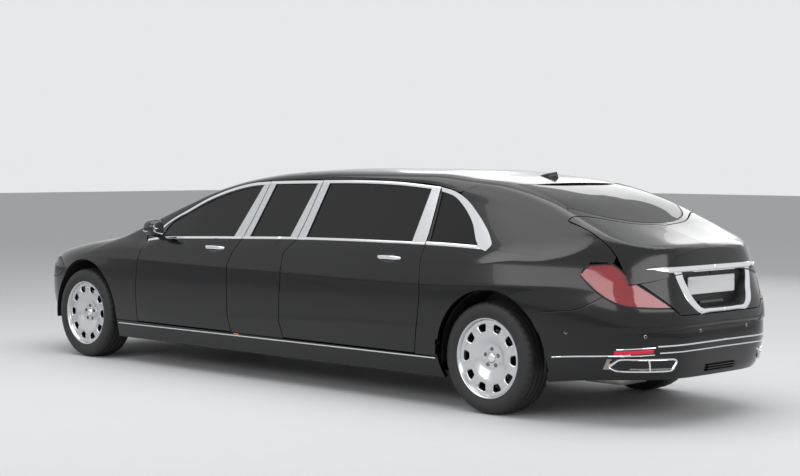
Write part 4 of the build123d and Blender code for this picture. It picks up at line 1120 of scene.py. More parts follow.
# Rear bumper
ledgeZ = lineThrough([(93, 0.556), (118, 0.588), (140, 0.607), (160, 0.620), (180, 0.624)])


def bumperGrid():
    arch = arc(rearArch, archRadius, 180 - archAngle(rearArch, 0.678), 180 - archAngle(rearArch, 0.245), 40)
    left = around(liftSide(arch[::-1]), pivotBumper)
    lowSide = liftSide([(-2.4925, 0.245), (-2.7, 0.272), (-2.88, 0.286)])
    lowBack = liftEnd([(0.64, 0.290), (0.44, 0.290), (0.2, 0.290), (0, 0.290)], -1)
    topSide = liftSide(rounded([(-2.380, 0.676), (-2.560, 0.696), (-2.7545, 0.726), (-2.8795, 0.799)], 30))
    topLamp = liftSide(rounded([(-2.8795, 0.799), (-2.9815, 0.750), (-3.0545, 0.736)], 12))
    topBack = liftEnd([(0.60, 0.731), (0.494, 0.729), (0.443, 0.684), (0.2, 0.684), (0, 0.684)], -1)
    low = around(rounded(np.vstack([lowSide, lowBack]), 80), pivotBumper)
    top = around(np.vstack([topSide, topLamp[1:], topBack]), pivotBumper)
    right = around(liftEnd([(0, 0.290), (0, 0.684)], -1), pivotBumper)
    grid = patch(low, top, left, right, 96, 46)
    inset = 0.012 * (1 - ease(grid[..., 1] - ledgeZ(np.degrees(grid[..., 0])), -0.010, 0.004))
    inset = inset * ease(np.degrees(grid[..., 0]), 92, 97)
    return liftRound(grid, pivotBumper, depth=inset)


rearBumper = mirroredGrid(bumperGrid()[:, ::-1])
addPiece("rear_bumper", slab(rearBumper, 0.010, out=(-2.3, 0, 0.5)), paint, stands="rear_bumper", bevel=0.002)


def wrapStrip(points, width, proud, pivot, count=44, taper=0.0, inset=0.012, thick=0.006):
    # bright strip round a corner of a bumper, along (x, y, z) points
    path = around(rounded(points, count), pivot)
    t = np.linspace(0, 1, count)
    half = width / 2 * (1 - taper * (2 * np.abs(t - 0.5)) ** 6)
    rows = []
    for share, rise in ((-1, 0), (-0.7, 0.8), (0, 1), (0.7, 0.8), (1, 0)):
        line = path + np.stack([np.zeros(count), half * share], 1)
        rows.append(liftRound(line[None], pivot, depth=inset - proud * rise)[0])
    return slab(np.array(rows), thick, out=(pivot[0], 0, 0.45))


def rearLine(points):
    # (y, z) pairs on the tail as (x, y, z)
    return liftEnd(points, -1)


sideBright = [(-2.553, 0.884, 0.414), (-2.7, 0.85, 0.428), (-2.88, 0.80, 0.440), (-3.023, 0.705, 0.450)]
strips = [wrapStrip(sideBright, 0.011, 0.006, pivotBumper, taper=0.8),
          wrapStrip(rearLine([(0.585, 0.462), (0.3, 0.468), (0, 0.470)]), 0.010, 0.006, pivotBumper),
          wrapStrip(rearLine([(0.600, 0.503), (0.3, 0.510), (0, 0.512)]), 0.012, 0.006, pivotBumper)]
loop = [(0.612, 0.452), (0.70, 0.446), (0.795, 0.440)]
upper = [(0.612, 0.496), (0.70, 0.490), (0.775, 0.482)]
strips += [wrapStrip(rearLine(loop), 0.009, 0.006, pivotBumper),
           wrapStrip(rearLine(upper), 0.009, 0.006, pivotBumper)]
addPiece("rear_bumper_trim", pair(joined(strips)), chrome)
reflect = [wrapStrip(rearLine([(0.620, 0.474), (0.70, 0.468), (0.780, 0.461)]), 0.024, 0.003, pivotBumper)]
addPiece("rear_reflectors", pair(joined(reflect)), redGlow)


def tailTrim(y0, y1, low, high):
    # two-chamber bright frame round the exhaust ends, a chamfered loop with a bar in the middle
    frame = [(y0 + 0.022, low), (y1 - 0.03, low), (y1, low + 0.022), (y1 - 0.022, high), (y0 + 0.02, high),
             (y0, high - 0.020)]
    loop = np.array(frame)
    corners = []
    for i in range(len(loop)):
        a, b, c = loop[i - 1], loop[i], loop[(i + 1) % len(loop)]
        for t in (0.0, 0.5, 1.0):
            start, end = b + (a - b) * 0.14, b + (c - b) * 0.14
            corners.append((1 - t) ** 2 * start + 2 * t * (1 - t) * b + t * t * end)
    line = rearLine(rounded(corners + corners[:1], 73, False)[:-1])
    section = [(-0.006, -0.014), (0.006, -0.014), (0.007, 0.000), (0.003, 0.005), (-0.004, 0.005),
               (-0.006, 0.000)]
    ring = tube(line, section, up=(-0.9, 0.45, 0), closed=True)
    mid = (y0 + y1) / 2
    bar = tube(rearLine([(mid - 0.010, low), (mid, (low + high) / 2), (mid + 0.012, high)]) + (0.004, 0, 0),
               [(-0.005, -0.014), (0.005, -0.014), (0.005, 0.004), (-0.005, 0.004)], up=(-0.9, 0.45, 0))
    inner = line + (0.004, -0.002, 0)
    count = len(inner)
    cap = (np.vstack([inner, [inner.mean(0)]]), [[i, (i + 1) % count, count] for i in range(count)])
    return joined([ring, bar]), cap


trim, cap = tailTrim(0.468, 0.782, 0.348, 0.424)
addPiece("exhaust_trims", pair(trim), chrome)
addPiece("exhaust_trim_wells", pair(cap), sealRubber, flat=True)

sensorProfile = [(0, 0.0025), (0.008, 0.0025), (0.0095, 0.0015), (0.0098, -0.004), (0, -0.004)]
sensors = []
for y, z in ((0.26, 0.585), (0.66, 0.565)):
    at = rearLine([(y, z)])[0]
    turn = Matrix.Rotation(math.radians(90), 3, "Z") if y < 0.5 else Matrix.Rotation(math.radians(57), 3, "Z")
    sensors.append(moved(spun(sensorProfile, 24),
                         at + (0.011, 0, 0), turn))
at = liftSide([[-2.66, 0.575]])[0]
sensors.append(moved(spun(sensorProfile, 24),
                     at + (0, -0.010, 0), Matrix.Rotation(math.radians(14), 3, "Z")))
addPiece("rear_sensors", pair(joined(sensors)), blackGloss)
sensorRings = []
for shape in sensors:
    p = np.asarray(shape[0])
    sensorRings.append((p.mean(0) + (p - p.mean(0)) * 1.14 + (0.0011, -0.0004, 0), shape[1]))
addPiece("sensor_rings", pair(joined(sensorRings)), satin)

slats = []
for z in (0.322, 0.338, 0.354):
    line = rearLine([(-0.16, z), (0, z), (0.16, z)]) + (0.004, 0, 0)
    slats.append(tube(rounded(line, 16), [(-0.008, -0.003), (0.008, -0.003), (0.004, 0.003), (-0.008, 0.003)],
                      up=(0, 0, 1)))
addPiece("rear_vent_slats", joined(slats), blackPlastic)
print("rear end made")


# Nose: strip ahead of the bonnet, headlamps, grille, front bumper

def noseEnd(points):
    return liftEnd(points, 1)


lowStrip = rounded(np.vstack([liftSide([(2.8255, 0.809), (2.90, 0.802), (2.9995, 0.796)]),
                              noseEnd([(0.60, 0.786), (0.52, 0.784), (0.44, 0.796), (0.30, 0.797),
                                       (0, 0.797)])]), 56)
highStrip = rounded(liftTop(rounded([(2.8255, 0.690), (2.95, 0.618), (3.0395, 0.5585), (3.09, 0.44),
                                     (3.1055, 0.352), (3.1235, 0)], 60)), 56)
share = np.linspace(0, 1, 10)[:, None, None]
noseStrip = settle((1 - share) * lowStrip[None] + share * highStrip[None])
noseStrip[:, -1, 1] = 0
addPiece("nose_strip", slab(mirroredGrid(noseStrip[:, ::-1]), 0.014, out=(2.6, 0, 0.6)), paint, bevel=0.0015)

headLow = np.vstack([liftSide([(2.7165, 0.728), (2.755, 0.692), (2.7995, 0.667), (2.87, 0.651),
                               (2.9495, 0.642)]), noseEnd([(0.62, 0.641), (0.476, 0.643)])])
headTop = np.vstack([liftSide([(2.7180, 0.741), (2.7575, 0.772), (2.7995, 0.795), (2.90, 0.793),
                               (2.9995, 0.787)]), noseEnd([(0.60, 0.777), (0.476, 0.771)])])
headInner = noseEnd([(0.476, 0.643), (0.476, 0.771)])


def headSheet(depth, inset=0.0, columns=40, rows=14):
    low, top = around(rounded(headLow, 60), pivotNose), around(rounded(headTop, 60), pivotNose)
    tip = around(np.array([headLow[0], headTop[0]]), pivotNose)
    grid = patch(low, top, tip, around(headInner, pivotNose), columns, rows)
    middleOf = grid.mean((0, 1))
    return liftRound(middleOf + (grid - middleOf) * (1 - inset), pivotNose, depth=depth)


noseOut = (2.3, 0.0, 0.7)
headGlass = glassSurface("headlamp_glass", (0.90, 0.92, 0.93))
dayLight = surface("white_light_bar", (0.88, 0.89, 0.92), 0.2, coat=0.6, fleck=0.03, fleckScale=80,
                   rough=0.05, bump=0.2, bumpScale=600, weave=True)
addPiece("headlamps", pair(slab(headSheet(0.001), 0.003, out=noseOut)), headGlass, stands="headlamps",
         bevel=0.001)
addPiece("headlamp_housings", pair(slab(headSheet(0.075, 0.02), 0.006, out=noseOut)), blackGloss)
sheet = headSheet(0.030, 0.04, 80, 60)
brow = slab(sheet[48:55:2, 4:76:2], 0.020, out=noseOut)
foot = slab(sheet[5:12:2, 10:76:2], 0.020, out=noseOut)
addPiece("headlamp_light_bars", pair(joined([brow, foot])), dayLight, bevel=0.001)
projectors = []
rings = []
face = headSheet(0.040, 0.04, 80, 60)
for column, row, radius in ((56, 30, 0.036), (34, 30, 0.034), (70, 29, 0.026)):
    at = face[row, column]
    normal = gridNormals(face)[row, column]
    normal = normal if normal[0] > 0 else -normal
    aim = Vector((0.9, 0.25 + 0.3 * (at[1] - 0.6), 0)).normalized()
    turn = aim.to_track_quat("Y", "Z").to_matrix()
    ball = [(radius * math.sin(a), radius * 0.55 * math.cos(a)) for a in np.linspace(0.02, math.pi / 2, 9)]
    projectors.append(moved(spun(ball + [(radius, -0.03), (0.001, -0.03)], 28), at, turn))
    rings.append(moved(spun([(radius, -0.006), (radius * 1.08, 0.006), (radius * 1.22, 0.004),
                             (radius * 1.28, -0.012), (radius * 1.22, -0.034), (radius, -0.034)], 32,
                            wrapped=True), at, turn))
addPiece("headlamp_projectors", pair(joined(projectors)), headGlass)
addPiece("headlamp_rings", pair(joined(rings)), chrome)
addPiece("headlamp_seals", pair(tube(rimOf(headSheet(0.004)), sealSection, closed=True)), sealRubber)

# Grille
grilleEdge = [(0, 0.784), (0.20, 0.785), (0.405, 0.784), (0.428, 0.770), (0.446, 0.610), (0.440, 0.585),
              (0.372, 0.446), (0.345, 0.428), (0.18, 0.424), (0, 0.423)]
grilleTable = {"barPitch": 0.058, "barHigh": 0.015, "meshPitch": 0.022, "frame": 0.013}


def grilleHalf(z):
    return float(np.interp(z, [0.423, 0.446, 0.600, 0.770, 0.785], [0.35, 0.368, 0.440, 0.424, 0.40]))


edge = rounded(grilleEdge, 110)
ringLine = np.vstack([noseEnd(edge), (noseEnd(edge) * (1, -1, 1))[-2:0:-1]]) + (-0.007, 0, 0)
section = [(-0.012, -0.010), (0.012, -0.010), (0.013, 0.002), (0.006, 0.009), (-0.006, 0.009),
           (-0.013, 0.002)]
frameRing = tube(ringLine, section, up=(1, 0, 0), closed=True)
bars = []
for z in np.arange(0.470, 0.760, grilleTable["barPitch"]):
    half = grilleHalf(z) - 0.006
    line = noseEnd([(y, z) for y in np.linspace(-half, half, 40)]) + (-0.006, 0, 0)
    bars.append(tube(line, [(-0.016, -0.008), (0.004, -0.008), (0.010, 0.0), (0.004, 0.008), (-0.016, 0.008)],
                     up=(0, 0, 1)))
post = [(float(noseEnd([(0.0, z)])[0, 0]) - 0.012, 0, z) for z in np.linspace(0.425, 0.782, 24)]
bars.append(tube(post, [(-0.006, -0.010), (0.006, -0.010), (0.006, 0.010), (-0.006, 0.010)], up=(1, 0, 0)))
addPiece("grille", joined([frameRing] + bars), chrome, stands="grille", bevel=0.0012)
mesh = []
for y in np.arange(-0.42, 0.421, grilleTable["meshPitch"]):
    tops = [z for z in np.linspace(0.428, 0.780, 23) if grilleHalf(z) > abs(y) + 0.004]
    line = [(float(noseEnd([(abs(y), z)])[0, 0]) - 0.034, y, z) for z in (tops[0], (tops[0] + tops[-1]) / 2,
            tops[-1])]
    mesh.append(tube(line, [(-0.002, -0.010), (0.002, -0.010), (0.002, 0.010), (-0.002, 0.010)],
                     up=(1, 0, 0)))
addPiece("grille_fins", joined(mesh), blackPlastic)
backs = noseEnd(edge) + (-0.075, 0, 0)
loop = np.vstack([backs, (backs * (1, -1, 1))[-2:0:-1]])
count = len(loop)
wall = np.array([ringLine + (-0.008, 0, 0), loop])
points, faces = gridShape(wall, wrap=True)
points = np.vstack([points, [loop.mean(0)]])
faces += [[count + i, count + (i + 1) % count, 2 * count] for i in range(count)]
addPiece("grille_shroud", (points, faces), sealRubber, flat=True)

# Front bumper
openings = [(0.0, 0.295, 0.262, 0.372), (0.44, 0.69, 0.262, 0.372)]


def bumperFrontGrid(columns=100, rows=56):
    s = np.linspace(0, 1, columns + 1)[None, :] ** 0.92
    v = np.linspace(0, 1, rows + 1)[:, None]
    sideAngle = 60.0
    nominal = sideAngle * (1 - s)
    topAt = lineThrough([(0, 0.414), (21.5, 0.414), (22.5, 0.422), (26.3, 0.585), (26.9, 0.626),
                         (27.6, 0.634), (38.0, 0.634), (44.0, 0.640), (50.5, 0.655), (56.5, 0.722),
                         (59.0, 0.700), (60.0, 0.634)])
    lowAt = lineThrough([(0, 0.212), (30, 0.205), (60, 0.195)])
    z = lowAt(nominal) + (topAt(nominal) - lowAt(nominal)) * v
    zs = np.linspace(0.19, 0.74, 40)
    x = frontAxle[0] + np.sqrt(np.maximum(archRadius ** 2 - (zs - frontAxle[1]) ** 2, 0))
    edgePoints = liftSide(np.stack([x, zs], 1))
    theta = np.interp(z, zs, np.arctan2(edgePoints[:, 1], edgePoints[:, 0] - pivotNose[0]))
    angle = theta * (1 - s)
    flat = liftRound(np.stack([angle, z], -1), pivotNose)
    y = flat[..., 1]
    inset = np.zeros_like(y)
    for y0, y1, z0, z1 in openings:
        inside = ease(y, y0 - 0.008 if y0 else -1, y0 + 0.002 if y0 else -0.5) * ease(-y, -y1 - 0.008,
                -y1 + 0.002)
        inside = inside * ease(z, z0 - 0.006, z0 + 0.004) * ease(-z, -z1 - 0.006, -z1 + 0.004)
        inset = np.maximum(inset, 0.040 * inside)
    inset = inset + 0.010 * ease(-z, -0.246, -0.236)
    return liftRound(np.stack([angle, z], -1), pivotNose, depth=inset)


frontBumper = mirroredGrid(bumperFrontGrid()[:, ::-1])
addPiece("front_bumper", slab(frontBumper, 0.009, out=(2.3, 0, 0.45)), paint, stands="front_bumper",
         bevel=0.0015)
inserts = []
for y0, y1, z0, z1 in openings:
    for k, z in enumerate(np.linspace(z0 + 0.016, z1 - 0.016, 4)):
        low, high = (-y1, y1) if y0 == 0 else (y0, y1)
        line = noseEnd([(y, z) for y in np.linspace(low + 0.004, high - 0.004, 24)]) + (-0.020, 0, 0)
        fin = tube(line, [(-0.012, -0.003), (0.006, -0.003), (0.008, 0.0), (0.006, 0.003), (-0.012, 0.003)])
        inserts += [fin] if y0 == 0 else [fin, otherSide(fin)]
addPiece("front_bumper_slats", joined(inserts), blackPlastic)
lipLine = wrapStrip(noseEnd([(y, 0.249) for y in np.linspace(0, 0.64, 24)]), 0.010, 0.005, pivotNose,
                    inset=0.0)
lipHigh = wrapStrip(noseEnd([(y, 0.385) for y in np.linspace(0.42, 0.70, 20)]), 0.009, 0.005, pivotNose,
                    inset=0.0, taper=0.8)
addPiece("front_bumper_trim", pair(joined([lipLine, lipHigh])), chrome)
print("nose made")


# Sills, handles, mirrors, side trim

def sillGrid():
    low, high = 0.200, 0.338
    z = np.linspace(low, high, 12)
    half = np.sqrt(archRadius ** 2 - (z - rearArch[1]) ** 2)
    rear = np.stack([rearArch[0] + half + 0.002, z], 1)
    front = np.stack([frontAxle[0] - half - 0.002, z], 1)
    return liftSide(patch([rear[0], front[0]], [rear[-1], front[-1]], rear, front, 90, 8))


addPiece("sills", pair(slab(sillGrid(), 0.030)), paint, stands="sills", bevel=0.002)
sillStrip = trimStrip([(-1.600, 0.3235), (-0.5, 0.3200), (0.6, 0.3160), (1.905, 0.3100)], 0, 0.010, 70, 0.004)
addPiece("sill_trim", pair(sillStrip), chrome)
amber = surface("amber_lens", (0.75, 0.22, 0.02), 0.15, coat=0.8, fleck=0.08, fleckScale=90, rough=0.04,
                bump=0.2, bumpScale=500, weave=True)
addPiece("side_markers", pair(slab(band([(0.40, 0.330), (0.46, 0.3297)], [(0.40, 0.338), (0.46, 0.3377)],
                                        12, 4, depth=-0.002), 0.004)), amber, bevel=0.001)

handleTable = [
    {"door": "front_door", "x": 0.6865, "z": 0.970},
    {"door": "rear_door", "x": -1.1595, "z": 0.974},
]
handleShape = {"length": 0.225, "bow": 0.016, "stand": 0.013, "cupLong": 0.170, "cupHigh": 0.062}


def handle(x, z):
    u = np.linspace(-1, 1, 25)
    path = liftSide(np.stack([x + u * handleShape["length"] / 2, z + 0.004 * (1 - u * u)], 1))
    lift = handleShape["stand"] * (1 - np.abs(u) ** 6) + handleShape["bow"] * (1 - u * u)
    path[:, 1] += lift - 0.004
    rings = []
    for k, point in enumerate(path):
        taper = 1 - 0.45 * abs(u[k]) ** 5
        ring = [(0.0055 * math.copysign(abs(math.cos(a)) ** 0.7, math.cos(a)),
                 0.013 * taper * math.copysign(abs(math.sin(a)) ** 0.7, math.sin(a)))
                for a in np.linspace(0, 2 * math.pi, 16, endpoint=False)]
        rings.append([(point[0], point[1] + a, point[2] + b) for a, b in ring])
    points, faces = gridShape(np.array(rings), wrap=True)
    faces += [list(range(16))[::-1], list(range(24 * 16, 25 * 16))]
    return points, faces


def handleCup(x, z):
    r = np.linspace(0.02, 1, 9)[:, None]
    a = np.linspace(0, 2 * math.pi, 49)[None, :]
    cx = np.sign(np.cos(a)) * np.abs(np.cos(a)) ** 0.8 * handleShape["cupLong"] / 2
    grid = np.stack([x + r * cx, z - 0.004 + r * np.sin(a) * handleShape["cupHigh"] / 2], -1)
    out = liftSide(grid, depth=-0.0008)
    return slab(out, 0.002)


for row in handleTable:
    addSides(row["door"] + "_handle", handle(row["x"], row["z"]), chrome, row["door"])
    addSides(row["door"] + "_handle_cup", handleCup(row["x"], row["z"]), blackGloss, row["door"])

mirrorTable = {"centre": (1.3255, 1.008, 1.099), "half": (0.088, 0.0625, 0.068), "power": 2.7, "faceX": 1.262}


def mirrorHead(rows=26, columns=40):
    lat = np.linspace(-math.pi / 2 + 0.02, math.pi / 2 - 0.02, rows)[:, None]
    lon = np.linspace(0, 2 * math.pi, columns, endpoint=False)[None, :]
    direction = np.stack([np.broadcast_to(np.sin(lat), (rows, columns)), np.cos(lat) * np.cos(lon),
                          np.cos(lat) * np.sin(lon)], -1)
    p = mirrorTable["power"]
    half = np.array(mirrorTable["half"])
    scale = (np.abs(direction) ** p).sum(-1) ** (-1 / p)
    points = direction * scale[..., None] * half
    points[..., 0] = np.where(points[..., 0] < 0, points[..., 0] * 0.72, points[..., 0])
    points[..., 2] *= 1 - 0.16 * (points[..., 1] / half[1])
    points[..., 0] -= 0.10 * np.abs(points[..., 1] - half[1] * 0.2) * 0.5
    return points + np.array(mirrorTable["centre"])


head = mirrorHead()
points, faces = gridShape(head, wrap=True)
faces += [list(range(40))[::-1], list(range(25 * 40, 26 * 40))]
addSides("mirror", (points, faces), blackGloss, "front_door", "mirror", sharp=60, slot="paint")
centre = np.array(mirrorTable["centre"])
glassRows = []
for r in (0.02, 0.5, 0.9, 1.0):
    a = np.linspace(0, 2 * math.pi, 41)
    ring = np.stack([np.full(41, centre[0] - 0.0665 - 0.0012 * (r < 1)),
                     centre[1] + 0.051 * r * np.sign(np.cos(a))
                     * np.abs(np.cos(a)) ** 0.75, centre[2] + 0.048 * r * np.sign(np.sin(a))
                     * np.abs(np.sin(a)) ** 0.75 * (1 - 0.13 * np.cos(a))], 1)
    glassRows.append(ring)
mirrorGlass = surface("mirror_glass", (0.80, 0.82, 0.84), 0.03, metallic=1, fleck=0.02, fleckScale=10,
                      rough=0.01, bump=0.005, bumpScale=100)
addSides("mirror_glass", slab(np.array(glassRows), 0.004, out=tuple(centre)), mirrorGlass, "front_door")
ring = mirrorHead(40, 64)
foremost = ring[18:34, :, :]
edgeLine = np.array([row[np.argmin(np.abs(row[:, 2] - (centre[2] - 0.022)) + 10
                                   * (row[:, 1] < centre[1] - 0.03))]
                     for row in foremost])
addSides("mirror_trim", tube(rounded(edgeLine, 20) + (0.0005, 0.0008, 0), circle(0.0035, 8)), chrome,
         "front_door")
footPath = [(1.335, 0.898, 1.012), (1.332, 0.925, 1.024), (1.328, 0.955, 1.040), (1.326, 0.975, 1.055)]
footRings = []
for point, (w, h) in zip(footPath, ((0.060, 0.014), (0.046, 0.012), (0.040, 0.012), (0.042, 0.016))):
    footRings.append([(point[0] + w * math.cos(a), point[1] - 0.3 * h * math.sin(a),
                       point[2] + h * math.sin(a))
                      for a in np.linspace(0, 2 * math.pi, 20, endpoint=False)])
points, faces = gridShape(np.array(footRings), wrap=True)
faces += [list(range(20))[::-1], list(range(60, 80))]
addSides("mirror_foot", (points, faces), blackGloss, "front_door")

# Roof fin
fin = {"rear": -1.885, "front": -1.725, "high": 0.048, "wide": 0.017, "blunt": 0.12}
finRings = []
for x in np.linspace(fin["rear"], fin["front"], 20):
    t = (x - fin["rear"]) / (fin["front"] - fin["rear"])
    rise = (1 - t) ** 0.75 if t > fin["blunt"] else (t / fin["blunt"]) ** 0.5
    high = fin["high"] * rise + 0.001
    base = float(liftTop([(x, 0.0)])[0, 2]) - 0.002
    wide = fin["wide"] * math.sin(math.pi * min(max(t, 0.04), 0.97)) ** 0.6 + 0.001
    finRings.append([(x, wide * math.cos(a), base + high * max(math.sin(a), 0) ** 0.8)
                     for a in np.linspace(0, math.pi, 13)])
points, faces = gridShape(np.array(finRings))
faces += [list(range(13))[::-1], list(range(19 * 13, 20 * 13))]
for k in range(19):
    faces.append([k * 13, k * 13 + 12, (k + 1) * 13 + 12, (k + 1) * 13])
addPiece("roof_fin", (points, faces), paint)


# Door inner trim

doorOut = (0, 2.0, 0.7)

def innerPanel(skin, low=0.05, high=0.985, step=3):
    rows = skin[int(low * (len(skin) - 1)):int(high * (len(skin) - 1)) + 1:2, 3:-3:step]
    z = rows[..., 2]
    bulge = 0.030 * ease(z, 0.585, 0.635) * ease(-z, -0.735, -0.690) + 0.012 * ease(z, 0.86, 0.96)
    pocket = -0.012 * ease(z, 0.43, 0.47) * ease(-z, -0.57, -0.53)
    return rows + np.stack([np.full_like(z, panelDepth["lean"]), -panelDepth["door"] - 0.006 - bulge - pocket,
                            np.zeros_like(z)], -1)


for name, skin in (("front_door", frontDoorSkin), ("rear_door", rearDoorSkin)):
    inner = innerPanel(skin)
    addSides(name + "_trim_panel", slab(inner, 0.006, out=doorOut), interiorPlastic, name)
    z = inner[..., 2]
    middleRow = int(np.argmin(np.abs(z.mean(1) - 0.712)))
    pad = inner[middleRow - 6:middleRow + 3, 4:-4] + (0, -0.004, 0)
    addSides(name + "_armrest", slab(pad, 0.012, out=doorOut), leather, name, bevel=0.004)
    row = inner[int(np.argmin(np.abs(z.mean(1) - 0.80)))]
    line = row[6:-6:3] + (0, -0.006, 0)
    addSides(name + "_inlay", tube(line, [(-0.004, -0.014), (0.003, -0.014), (0.004, 0.0), (0.003, 0.014),
                                          (-0.004, 0.014)]), satin, name)
    at = row[len(row) * 2 // 3] + (0, -0.012, 0.045)
    grip = [at + np.array([dx, dy, 0]) for dx, dy in ((-0.055, 0.006), (-0.04, -0.008), (0.0, -0.012),
                                                      (0.04, -0.008), (0.055, 0.006))]
    addSides(name + "_inner_handle", tube(rounded(grip, 14), circle(0.006, 10)), chrome, name)
print("side trim and doors made")


# Wheels

tyreTable = {"outer": 0.364, "halfWide": 0.1225, "bead": 0.256, "grooves": (-0.062, -0.021, 0.021, 0.062),
             "grooveWide": 0.009, "grooveDeep": 0.007, "blocks": 44}


def tyreShape():
    t = tyreTable
    side = [(t["bead"], 0.098), (0.262, 0.113), (0.272, 0.1175), (0.288, 0.1195), (0.292, 0.1215),
            (0.312, 0.1225), (0.330, 0.1195), (0.344, 0.1135), (0.3535, 0.1050), (0.3590, 0.0950)]
    crown = []
    for g in t["grooves"][::-1]:
        r = t["outer"] - 0.45 * g * g
        half = t["grooveWide"] / 2
        crown += [(r, g + half + 0.016), (r, g + half), (r - t["grooveDeep"], g + half - 0.001),
                  (r - t["grooveDeep"], g - half + 0.001), (r, g - half)]
    crown.append((t["outer"] - 0.002, t["grooves"][0] - 0.020))
    profile = side + crown + [(r, -o) for r, o in side[::-1]] + [(0.250, -0.095), (0.250, 0.095)]
    prof = np.array(profile + profile[:1])
    count = t["blocks"] * 4
    angle = np.linspace(0, 2 * math.pi, count, endpoint=False)
    radius = np.broadcast_to(prof[:, 0, None], (len(prof), count)).copy()
    offset = prof[:, 1]
    tread = (radius[:, 0] > 0.352) & (np.abs(offset) > 0.070)
    sipes = np.arange(count) % 4 == 0
    radius[np.ix_(tread, sipes)] -= 0.006
    ribs = (radius[:, 0] > 0.360) & (np.abs(offset) < 0.062)
    radius[np.ix_(ribs, np.arange(count) % 4 == 2)] -= 0.0012
    shift = np.where(np.abs(offset) > 0.05, 0.018, 0) * np.sign(offset)
    a = angle[None, :] + shift[:, None]
    grid = np.stack([radius * np.cos(a), np.broadcast_to(offset[:, None], radius.shape),
                     radius * np.sin(a)], -1)
    return gridShape(grid, wrap=True)


dishLine = lineThrough([(0.030, 0.066), (0.060, 0.063), (0.085, 0.066), (0.120, 0.078), (0.155, 0.087),
                        (0.200, 0.091), (0.226, 0.088), (0.243, 0.090)])
wheelTable = {"openings": 10, "innerR": 0.140, "outerR": 0.243, "openR": 0.1985, "openHalf": 0.024,
              "openAngle": 8.2, "thick": 0.011, "bolts": 5, "boltCircle": 0.056}


def faceSector(k, samples=32):
    w = wheelTable
    t = np.linspace(0, 2 * math.pi, samples, endpoint=False)
    c, s = np.cos(t), np.sin(t)
    big = np.maximum(np.abs(c), np.abs(s))
    half = math.pi / w["openings"]
    midR = (w["innerR"] + w["outerR"]) / 2
    outer = np.stack([midR + c / big * (w["outerR"] - w["innerR"]) / 2, s / big * half], 1)
    p = 4.2
    norm = (np.abs(c) ** p + np.abs(s) ** p) ** (-1 / p)
    lean = 1 + 0.16 * c
    hole = np.stack([w["openR"] + c * norm * w["openHalf"], s * norm * math.radians(w["openAngle"]) * lean],
                    1)
    rows = []
    for share, drop in ((0, 0), (0.35, 0), (0.70, 0.0), (0.88, 0.001), (0.97, 0.0035), (1.0, 0.008),
                        (1.0, 0.022), (0.85, 0.024), (0.0, 0.016)):
        flat = (1 - share) * outer + share * hole
        rows.append(np.stack([flat[:, 0] * np.cos(flat[:, 1] + 2 * half * k), dishLine(flat[:, 0]) - drop,
                              flat[:, 0] * np.sin(flat[:, 1] + 2 * half * k)], 1))
    return gridShape(np.array(rows), wrap=True)


def wheelFace():
    w = wheelTable
    parts = [faceSector(k) for k in range(w["openings"])]
    middle = [(r, float(dishLine(r))) for r in np.linspace(w["innerR"], 0.034, 16)]
    backs = [(r, float(dishLine(r)) - 0.022) for r in np.linspace(0.034, w["innerR"], 6)]
    parts.append(spun(middle + backs, 80))
    lip = [(0.2425, 0.091), (0.2465, 0.0965), (0.2500, 0.1050), (0.2545, 0.1105), (0.2595, 0.1115),
           (0.2625, 0.1080),
           (0.2600, 0.0980), (0.2540, 0.0930), (0.2500, 0.0860), (0.2450, 0.0700), (0.2440, -0.0850),
           (0.2560, -0.0960),
           (0.2610, -0.1080), (0.2560, -0.1110), (0.2480, -0.1000), (0.2360, -0.0880), (0.2360, 0.0550),
           (0.2400, 0.0740)]
    parts.append(spun(lip, 120, wrapped=True))
    return joined(parts)


def wheelSmall():
    cap = spun([(0.0, 0.0760), (0.014, 0.0755), (0.025, 0.0735), (0.0300, 0.0700), (0.0320, 0.0655),
                (0.0335, 0.0560), (0.0, 0.0560)], 48)
    bolts = []
    for k in range(wheelTable["bolts"]):
        a = 2 * math.pi * k / wheelTable["bolts"] + math.pi / 2
        at = (wheelTable["boltCircle"] * math.cos(a), 0, wheelTable["boltCircle"] * math.sin(a))
        bolts.append(moved(spun([(0.0, 0.0655), (0.005, 0.0655), (0.0065, 0.064), (0.0075, 0.0575),
                                 (0.0, 0.0575)], 6), at))
        bolts.append(moved(spun([(0.0085, 0.0636), (0.0125, 0.0655), (0.0135, 0.0645), (0.0130, 0.060),
                                 (0.0085, 0.060)],
                                24, wrapped=True), at))
    return cap, joined(bolts)


def brakeDisc():
    ring = spun([(0.085, 0.016), (0.178, 0.016), (0.180, 0.014), (0.180, -0.014), (0.178, -0.016),
                 (0.085, -0.016)], 96,
                wrapped=True)
    bell = spun([(0.0, 0.048), (0.070, 0.048), (0.078, 0.044), (0.084, 0.012), (0.090, 0.008),
                 (0.090, -0.008), (0.070, -0.008), (0.066, 0.036), (0.0, 0.036)], 64)
    return joined([ring, bell])


tyre, face, disc = tyreShape(), wheelFace(), brakeDisc()
cap, bolts = wheelSmall()
darkAlloy = surface("wheel_back", (0.05, 0.05, 0.052), 0.45, metallic=1, fleck=0.2, rough=0.1, bump=0.1)
for end, axle in (("front", frontAxle), ("rear", rearAxle)):
    place = (axle[0], wheelY, axle[1])
    addSides(f"tyre_{end}", moved(tyre, place), rubber, f"wheel_{end}", f"tyre_{end}", sharp=32)
    addSides(f"rim_{end}", moved(face, place), wheelSilver, f"wheel_{end}", f"rim_{end}", sharp=50)
    addSides(f"wheel_cap_{end}", moved(cap, place), chrome, f"wheel_{end}")
    addSides(f"wheel_bolts_{end}", moved(bolts, place), darkAlloy, f"wheel_{end}")
    addSides(f"brake_disc_{end}", moved(disc, place), steel, f"wheel_{end}")


